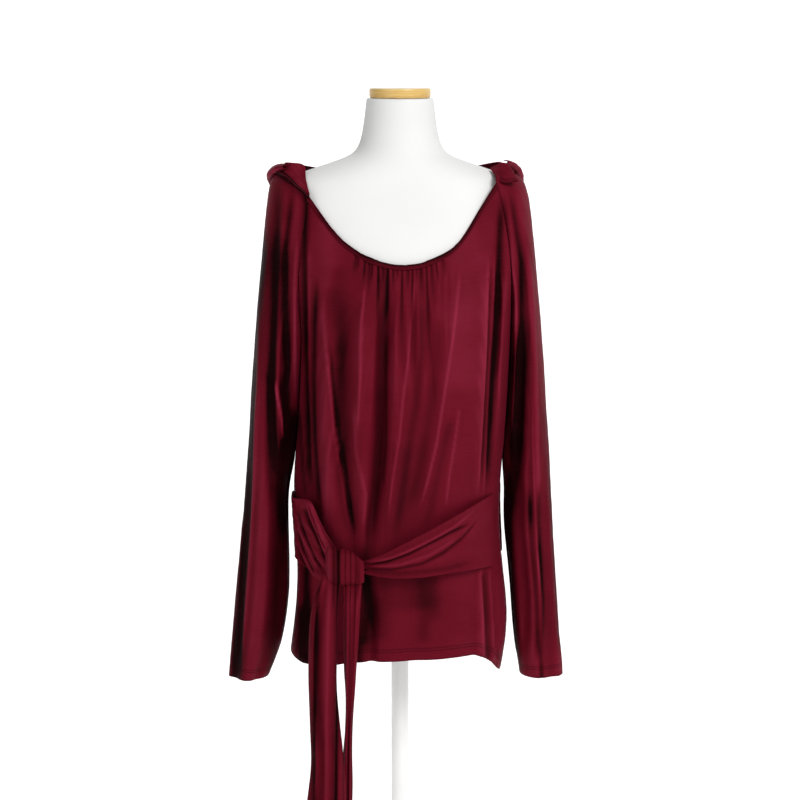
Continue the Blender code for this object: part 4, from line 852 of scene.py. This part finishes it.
def stand_paint(settings):
    """Satin off-white paint with soft clouds, uneven gloss and a slight orange peel."""
    shader = Shader("stand_satin_paint", {"Coat Weight": 0.2, "Coat Roughness": 0.25})
    place = shader.place()
    cloud = shader.noise(place, 12.0, 4.0)
    shader.drive("Base Color", shader.mix(shader.ramp(cloud, 0.4, 0.8), rgb(settings.paint_colour),
                                          rgb(settings.paint_colour, 0.93)))
    shader.drive("Roughness", shader.ramp(cloud, 0.0, 1.0) * 0.12 + 0.34)
    peel = shader.noise(place, 260.0, 2.0)
    shader.drive("Normal", shader.bump(peel * 0.00008, 0.5))
    return shader.material


def studio_white():
    """Plain pale floor and wall, almost even, with a soft light of their own."""
    shader = Shader("studio_white", {
        "Roughness": 0.9, "Specular IOR Level": 0.1,
        "Emission Color": rgb((1.0, 1.0, 1.0)), "Emission Strength": 0.5,
    })
    cloud = shader.noise(shader.place(), 0.6, 2.0)
    shader.drive("Base Color", shader.mix(cloud, rgb(STUDIO_SHADE), rgb(STUDIO_LIGHT)))
    return shader.material


def shared(name, maker, *settings):
    """The material of this name, made on its first use."""
    return bpy.data.materials.get(name) or maker(*settings)


def finish_cloth(piece, node=None, walled=True):
    """Gives a cloth piece its wall, jersey and place on the body, and hides the node that it stands for.

    A piece that is closed already needs no wall, and a front end of the hood stands for no node.
    """
    settings = bpy.context.scene.hoodie_cloth
    if walled:
        thicken(piece, settings.thickness)
    piece.data.materials.append(shared("wine_jersey_knit", jersey, settings))
    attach(piece, "root")
    if node:
        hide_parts(node)


# Settings

class HOODIE_PG_cloth(bpy.types.PropertyGroup):
    """Jersey, its colour and its stitching"""

    thickness: FloatProperty(name="Cloth thickness", description="Thickness of one layer of jersey",
                             default=0.0012, min=0.0005, max=0.003, precision=4, unit="LENGTH")
    cloth_colour: FloatVectorProperty(name="Cloth colour", description="Jersey where light catches it",
                                      default=(0.125, 0.0046, 0.0135), size=3, min=0, max=1, subtype="COLOR")
    # Painted shade: the jersey's colour down in the folds.
    painted_shade_colour: FloatVectorProperty(name="Deep colour", description="Jersey down in the folds",
                                     default=(0.0075, 0.0005, 0.0008), size=3, min=0, max=1, subtype="COLOR")
    # Painted highlight: the jersey's colour on the crests of the folds.
    painted_highlight_colour: FloatVectorProperty(name="Ridge colour", description="Jersey on the crests of the folds",
                                      default=(0.260, 0.0200, 0.0480), size=3, min=0, max=1, subtype="COLOR")
    stitch_colour: FloatVectorProperty(name="Stitch colour", description="Thread and seam lines",
                                       default=(0.012, 0.0008, 0.0014), size=3, min=0, max=1, subtype="COLOR")
    sheen_colour: FloatVectorProperty(name="Sheen colour", description="Tint of the soft sheen",
                                      default=(1.0, 0.30, 0.42), size=3, min=0, max=1, subtype="COLOR")
    sheen: FloatProperty(name="Sheen", description="Strength of the soft sheen", default=0.02, min=0, max=1,
                         subtype="FACTOR")
    knit_pitch: FloatProperty(name="Wale pitch", description="Distance between the knit's wales",
                              default=0.0009, min=0.0003, max=0.004, precision=4, unit="LENGTH")
    hem_depth: FloatProperty(name="Hem depth", description="Height of the stitching above an edge",
                             default=0.0130, min=0.003, max=0.04, precision=4, unit="LENGTH")
    levels: IntProperty(name="Fineness", description="Subdivisions of the large cloth pieces",
                        default=2, min=1, max=3)


class HOODIE_PG_form(bpy.types.PropertyGroup):
    """Form, cap and stand"""

    cover_colour: FloatVectorProperty(name="Cover colour", description="Form's cover",
                                      default=(0.86, 0.86, 0.85), size=3, min=0, max=1, subtype="COLOR")
    wood_colour: FloatVectorProperty(name="Wood colour", description="Darker grain of the cap",
                                     default=(0.58, 0.33, 0.080), size=3, min=0, max=1, subtype="COLOR")
    wood_light: FloatVectorProperty(name="Light wood colour", description="Lighter grain of the cap",
                                    default=(0.82, 0.58, 0.200), size=3, min=0, max=1, subtype="COLOR")
    paint_colour: FloatVectorProperty(name="Paint colour", description="Pole, collar and base",
                                      default=(0.93, 0.93, 0.92), size=3, min=0, max=1, subtype="COLOR")


class HOODIE_PG_studio(bpy.types.PropertyGroup):
    """Camera and light"""

    lens: FloatProperty(name="Lens", description="Focal length on a 36 mm wide sensor", default=103.9,
                        min=20, max=300, unit="CAMERA")
    camera_at: FloatVectorProperty(name="Camera place", description="Where the camera stands",
                                   default=(0.0, -3.2, 1.56), size=3, subtype="TRANSLATION", unit="LENGTH")
    look_at: FloatVectorProperty(name="Looks at", description="Point in the middle of the picture",
                                 default=(0.0, 0.0, 1.06), size=3, subtype="TRANSLATION", unit="LENGTH")
    key_power: FloatProperty(name="Key light", description="Power of the large front light", default=74.0,
                             min=0, max=1000, unit="POWER")
    side_power: FloatProperty(name="Side light", description="Power of the light at the left", default=9.0,
                              min=0, max=1000, unit="POWER")
    room_light: FloatProperty(name="Room light", description="Even light from all round", default=0.36,
                              min=0, max=5)


# Pieces

def hood_leaf(name, rows, depth):
    """Front end of a hood half: a smoothed table of rows with a roll along the sleeve's neck edge.

    The roll is a sine arch over the first stretch from that edge, and depth is how strong the painted shade
    beside it is.
    """
    grid = np.array(rows)
    tall, wide = grid.shape[:2]
    index = np.arange(tall * wide).reshape(tall, wide)
    faces = np.stack([index[:-1, :-1], index[:-1, 1:], index[1:, 1:], index[1:, :-1]], axis=-1).reshape(-1, 4)
    mesh = bpy.data.meshes.new(name)
    mesh.from_pydata(grid.reshape(-1, 3).tolist(), [], faces.tolist())
    bm = bmesh.new()
    bm.from_mesh(mesh)
    bmesh.ops.recalc_face_normals(bm, faces=bm.faces)
    if sum(face.normal.y for face in bm.faces) > 0:
        bmesh.ops.reverse_faces(bm, faces=bm.faces)
    bpy.data.meshes.remove(mesh)
    piece = rounded(bm, name, 4)
    points, normals = read(piece)
    border = np.linspace(0, tall - 1, ROLL_SAMPLES)
    edge = np.stack([np.interp(border, np.arange(tall), grid[:, 0, k]) for k in range(3)], axis=1)
    gap = nearest(points, edge)
    roll = np.sin(np.pi * np.clip(gap / ROLL_WIDTH, 0, 1))
    uneven_with_painted_shading = ripple(points, 120, 29)
    move(piece, points + normals * (ROLL_HEIGHT * roll + 0.0006 * uneven_with_painted_shading)[:, None])
    # Painted shade over the whole end and in lines at the edge and at the roll's foot, lighter past the roll,
    # with painted highlight where the bumps rise.
    at_edge = np.exp(-(gap / ROLL_DARK) ** 2)
    at_foot = np.exp(-((gap - ROLL_FOOT) / ROLL_FOOT_DARK) ** 2)
    past_roll = eased((gap - ROLL_CLEAR) / ROLL_CLEAR_WIDTH)
    tone = depth * (-0.3 - 1.1 * at_edge - 0.9 * at_foot + 0.3 * past_roll)
    store_plain(piece, tone + 0.30 * uneven_with_painted_shading, sideways(points), upright(points))
    finish_cloth(piece)
    return piece


def side_mask(points, side):
    """1 on the chosen side of the plane through the shoulders, fading across it; side 0 is everywhere."""
    if side == 0:
        return 1.0
    return eased(0.5 + side * points[:, 1] / SIDE_FADE)


def crease_sum(points, creases, level=False):
    """All creases of a piece together: their height in metres and their tone."""
    height = np.zeros(len(points))
    tone = np.zeros(len(points))
    for crease in creases:
        share = crease_field(points, crease, level) * side_mask(points, crease.side)
        height += crease.height * share
        tone += crease.tone * share
    return height, tone


def cloth_piece(node, levels, inside=(0.0, 0.0), thickness=WALL, cuts=0):
    """Outer side of a CAD wall as a smooth piece of its own, with extra cuts across its upright folds."""
    return rounded(outer_side(welded(node), inside, thickness), "cloth_" + node, levels, cuts=cuts)


def upright(points):
    """Height of each point."""
    return points[:, 2]


def sideways(points):
    """Place of each point across the wearer."""
    return points[:, 0]


def all_free(points):
    """Edge test for pieces on which no seam is drawn."""
    return np.full(len(points), True)


def none_free(points):
    """Edge test for pieces whose whole edge is finished like a seam."""
    return np.full(len(points), False)


class HOODIE_OT_panels(bpy.types.Operator):
    """Front and back panels with their folds, gathers and hems"""

    bl_idname = "hoodie.panels"
    bl_label = "Panels"

    def execute(self, context):
        levels = context.scene.hoodie_cloth.levels

        def hem_edge(points):
            """Edges below the hem's height are free."""
            return points[:, 2] < PANEL_HEM_TOP

        def round_body(points):
            """Way round the body: the angle about a point past its middle, times the body's radius."""
            return np.arctan2(points[:, 0], np.abs(points[:, 1]) + BODY_FLATNESS) * BODY_RADIUS

        for node, creases, area, seed in (("front_panel", FRONT_CREASES, 0.260, 3),
                                          ("back_panel", BACK_CREASES, 0.246, 5)):
            piece = cloth_piece(node, levels, cuts=1)

            def shape(points):
                """Height of the creases and their painted shade and highlight, with the gathers on the front,
                and a soft unevenness.
                """
                height, tone = crease_sum(points, creases)
                if node == "front_panel":
                    gathers, shade = gather_field(points)
                    height = height + gathers
                    tone = tone + shade
                return height + 0.0004 * ripple(points, 60, seed), tone

            sew(piece, hem_edge, True, round_body, upright, shape)
            finish_cloth(piece, node)
        return {"FINISHED"}


class HOODIE_OT_sleeves(bpy.types.Operator):
    """Raglan sleeves with their long folds and hemmed cuffs"""

    bl_idname = "hoodie.sleeves"
    bl_label = "Sleeves"

    def execute(self, context):
        levels = context.scene.hoodie_cloth.levels

        def cuff_edge(points):
            """Edges below the cuff's height are free."""
            return points[:, 2] < CUFF_TOP

        for node, creases, sign, seed in (("sleeve_right", RIGHT_SLEEVE_CREASES, -1, 7),
                                          ("sleeve_left", LEFT_SLEEVE_CREASES, 1, 9)):
            piece = cloth_piece(node, levels, (SLEEVE_X * sign, 0.0), cuts=1)

            def shape(points):
                """Height of the creases and their painted shade and highlight, with a soft unevenness."""
                height, tone = crease_sum(points, creases)
                return height + 0.0005 * ripple(points, 55, seed), tone

            def round_arm(points):
                """Way round the sleeve: the angle about its middle, times its radius."""
                return np.arctan2(points[:, 1], sign * points[:, 0] - SLEEVE_X) * ARM_RADIUS

            sew(piece, cuff_edge, True, round_arm, upright, shape)
            finish_cloth(piece, node)
        return {"FINISHED"}


class HOODIE_OT_binding(bpy.types.Operator):
    """Narrow binding round the front of the neck"""

    bl_idname = "hoodie.binding"
    bl_label = "Neck binding"

    def execute(self, context):
        piece = rounded(welded("neck_binding"), "cloth_neck_binding", 3)
        points, normals = read(piece)
        # Painted shade: the binding is darkest on its upper and lower rims, where its faces lean up or down.
        rim = eased((np.abs(normals[:, 2]) - 0.15) / 0.35)
        store_plain(piece, -0.40 - 0.60 * rim, sideways(points), upright(points))
        finish_cloth(piece, "neck_binding", walled=False)
        return {"FINISHED"}


class HOODIE_OT_hood(bpy.types.Operator):
    """Hood that hangs down the back, in two halves"""

    bl_idname = "hoodie.hood"
    bl_label = "Hood"

    def execute(self, context):
        levels = context.scene.hoodie_cloth.levels
        # depth sets how strong the painted shade on each front end is.
        for node, seed, rows, depth in (("hood_right", 11, RIGHT_LEAF, 1.0),
                                        ("hood_left", 13, LEFT_LEAF, 0.3)):
            piece = cloth_piece(node, levels)

            def shape(points):
                """Soft bumps, with painted highlight where they rise and painted shade where they sink."""
                unevenness = ripple(points, 45, seed)
                return 0.0010 * unevenness, 0.5 * unevenness

            sew(piece, none_free, False, sideways, upright, shape)
            finish_cloth(piece, node)
            leaf = hood_leaf("cloth_" + node + "_front_end", rows, depth)
        return {"FINISHED"}


class HOODIE_OT_sash(bpy.types.Operator):
    """Both bands of the sash and the gathered stretch at the hip"""

    bl_idname = "hoodie.sash"
    bl_label = "Sash"

    def execute(self, context):
        levels = context.scene.hoodie_cloth.levels
        stretches = (
            ("sash_front", SASH_CREASES, True, (0.09, 0.19), "front_panel"),
            ("sash_back", [], True, (0.12, 0.34), "back_panel"),
            ("sash_coil", COIL_CREASES, False, (0.12, 0.14), "front_panel"),
        )
        for node, creases, level, flat, panel in stretches:
            piece = cloth_piece(node, levels + 1)

            def shape(points):
                """Height of the creases and their painted shade and highlight, with a soft unevenness."""
                height, tone = crease_sum(points, creases, level)
                return height + 0.0003 * ripple(points, 70, 17), tone

            sew(piece, all_free, False, upright, sideways, shape, run=(1, 0, 0))
            finish_cloth(piece, node)
        return {"FINISHED"}


class HOODIE_OT_knot(bpy.types.Operator):
    """Knot of the sash"""

    bl_idname = "hoodie.knot"
    bl_label = "Knot"

    def execute(self, context):
        piece = rounded(welded("sash_knot"), "cloth_sash_knot", 3)
        points, normals = read(piece)
        # The lower part of the knot's front is drawn forward and down over the tops of the ties.
        low = eased((KNOT_WAIST - points[:, 2]) / KNOT_EASE)
        front = eased(-normals[:, 1] / 0.5)
        # The pleats give the knot its shape and its painted shade and highlight.
        height, tone = crease_sum(points, TIE_CREASES)
        points += normals * (height + 0.0003 * ripple(points, 120, 19))[:, None]
        points[:, 1] -= KNOT_FORWARD * low * front
        points[:, 2] -= KNOT_DROP * low
        move(piece, points)
        store_plain(piece, tone, upright(points), sideways(points))
        finish_cloth(piece, "sash_knot", walled=False)
        return {"FINISHED"}


class HOODIE_OT_ties(bpy.types.Operator):
    """Free ends of the sash that hang from the knot"""

    bl_idname = "hoodie.ties"
    bl_label = "Tie ends"

    def execute(self, context):
        levels = context.scene.hoodie_cloth.levels
        for node, flat in (("tail_outer", (0.066, 0.40)), ("tail_inner", (0.032, 0.415))):
            piece = cloth_piece(node, levels, (TIE_X, 0.0), TIE_WALL)

            def shape(points):
                """Height of the pleats and their painted shade and highlight, with a soft unevenness, and
                painted shade that makes the ties a little darker than the panels.
                """
                height, tone = crease_sum(points, TIE_CREASES)
                return height + 0.0004 * ripple(points, 60, 23), tone - 0.10

            sew(piece, all_free, False, sideways, upright, shape)
            finish_cloth(piece, node)
        return {"FINISHED"}


class HOODIE_OT_form(bpy.types.Operator):
    """Limbless form and its wooden cap"""

    bl_idname = "hoodie.form"
    bl_label = "Dress form"

    def execute(self, context):
        settings = context.scene.hoodie_form
        torso = rounded(welded("form_torso"), "form_cover", 3, crisp=True)
        torso.data.materials.append(shared("form_white_cover", form_cover, settings))
        cap = rounded(welded("form_cap"), "form_wood_cap", 3, crisp=True)
        cap.data.materials.append(shared("honey_wood_satin", honey_wood, settings))
        for piece, node, slot in ((torso, "form_torso", "form_cloth"), (cap, "form_cap", "honey_wood")):
            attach(piece, "root")
            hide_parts(node)
        return {"FINISHED"}


class HOODIE_OT_stand(bpy.types.Operator):
    """Pole, collar and base"""

    bl_idname = "hoodie.stand"
    bl_label = "Stand"

    def execute(self, context):
        paint = shared("stand_satin_paint", stand_paint, context.scene.hoodie_form)
        for node in ("stand_pole", "stand_collar", "stand_base"):
            piece = rounded(welded(node), "painted_" + node, 3, crisp=True)
            piece.data.materials.append(paint)
            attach(piece, "root")
            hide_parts(node)
        return {"FINISHED"}


def backdrop():
    """Floor that rises into a wall: a profile of a line, a quarter circle and a line, carried along X."""
    turn = np.linspace(0, math.pi / 2, 24)
    out = BEND_START + BEND_RADIUS * np.sin(turn)
    up = BEND_RADIUS - BEND_RADIUS * np.cos(turn)
    bend = np.stack([out, up], axis=1)
    profile = np.concatenate([[[FLOOR_FRONT, 0.0]], bend, [[BEND_START + BEND_RADIUS, BACKDROP_HEIGHT]]])
    width = np.array([-BACKDROP_HALF_WIDTH, BACKDROP_HALF_WIDTH])
    y, x = np.meshgrid(profile[:, 0], width, indexing="ij")
    z = np.broadcast_to(profile[:, 1][:, None], x.shape)
    points = np.stack([x, y, z], axis=-1).reshape(-1, 3)
    row = np.arange(len(profile) - 1) * 2
    faces = np.stack([row, row + 1, row + 3, row + 2], axis=1)
    mesh = bpy.data.meshes.new("backdrop")
    mesh.from_pydata(points.tolist(), [], faces.tolist())
    mesh.shade_smooth()
    piece = bpy.data.objects.new("backdrop", mesh)
    bpy.context.scene.collection.objects.link(piece)
    piece.data.materials.append(studio_white())
    return piece


def softbox(name, place, target, size, power):
    """Square area light that looks at a point."""
    data = bpy.data.lights.new(name, "AREA")
    data.shape = "SQUARE"
    data.size = size
    data.energy = power
    lamp = bpy.data.objects.new(name, data)
    lamp.location = place
    lamp.rotation_euler = (Vector(target) - Vector(place)).to_track_quat("-Z", "Y").to_euler()
    bpy.context.scene.collection.objects.link(lamp)


class HOODIE_OT_studio(bpy.types.Operator):
    """Floor, backdrop, lights and camera"""

    bl_idname = "hoodie.studio"
    bl_label = "Studio"

    def execute(self, context):
        settings = context.scene.hoodie_studio
        scene = context.scene
        backdrop()
        softbox("key_light", (1.6, -2.3, 3.2), CHEST, 1.3, settings.key_power)
        softbox("side_light", (-2.2, -2.2, 1.7), CHEST, 1.6, settings.side_power)
        world = bpy.data.worlds.new("room")
        world.use_nodes = True
        world.node_tree.nodes["Background"].inputs["Color"].default_value = (1, 1, 1, 1)
        world.node_tree.nodes["Background"].inputs["Strength"].default_value = settings.room_light
        scene.world = world
        data = bpy.data.cameras.new("camera")
        data.sensor_width = 36.0
        data.lens = settings.lens
        camera = bpy.data.objects.new("camera", data)
        camera.location = settings.camera_at
        aim = Vector(settings.look_at) - Vector(settings.camera_at)
        camera.rotation_euler = aim.to_track_quat("-Z", "Y").to_euler()
        scene.collection.objects.link(camera)
        scene.camera = camera
        scene.view_settings.view_transform = "Standard"
        return {"FINISHED"}


class HOODIE_PT_panel(bpy.types.Panel):
    """Lists the pieces and their settings"""

    bl_idname = "HOODIE_PT_panel"
    bl_label = "Hoodie"
    bl_space_type = "VIEW_3D"
    bl_region_type = "UI"
    bl_category = "Hoodie"

    def draw(self, context):
        for group in (context.scene.hoodie_cloth, context.scene.hoodie_form, context.scene.hoodie_studio):
            box = self.layout.box()
            for name in group.__annotations__:
                box.prop(group, name)
        for operator in OPERATORS:
            self.layout.operator(operator.bl_idname)


OPERATORS = (HOODIE_OT_panels, HOODIE_OT_sleeves, HOODIE_OT_binding, HOODIE_OT_hood, HOODIE_OT_knot,
             HOODIE_OT_sash, HOODIE_OT_ties, HOODIE_OT_form, HOODIE_OT_stand, HOODIE_OT_studio)
CLASSES = (HOODIE_PG_cloth, HOODIE_PG_form, HOODIE_PG_studio, *OPERATORS, HOODIE_PT_panel)


def register():
    """Registers the classes and hangs the settings on the scene."""
    for item in CLASSES:
        bpy.utils.register_class(item)
    bpy.types.Scene.hoodie_cloth = PointerProperty(type=HOODIE_PG_cloth)
    bpy.types.Scene.hoodie_form = PointerProperty(type=HOODIE_PG_form)
    bpy.types.Scene.hoodie_studio = PointerProperty(type=HOODIE_PG_studio)


def unregister():
    """Takes the settings and classes away again."""
    del bpy.types.Scene.hoodie_studio
    del bpy.types.Scene.hoodie_form
    del bpy.types.Scene.hoodie_cloth
    for item in reversed(CLASSES):
        bpy.utils.unregister_class(item)


def main():
    """Makes every piece in order."""
    register()
    bpy.ops.hoodie.studio()
    bpy.ops.hoodie.form()
    bpy.ops.hoodie.stand()
    bpy.ops.hoodie.panels()
    bpy.ops.hoodie.sleeves()
    bpy.ops.hoodie.binding()
    bpy.ops.hoodie.hood()
    bpy.ops.hoodie.knot()
    bpy.ops.hoodie.sash()
    bpy.ops.hoodie.ties()
    bpy.context.view_layer.update()


if __name__ == "__main__":
    main()
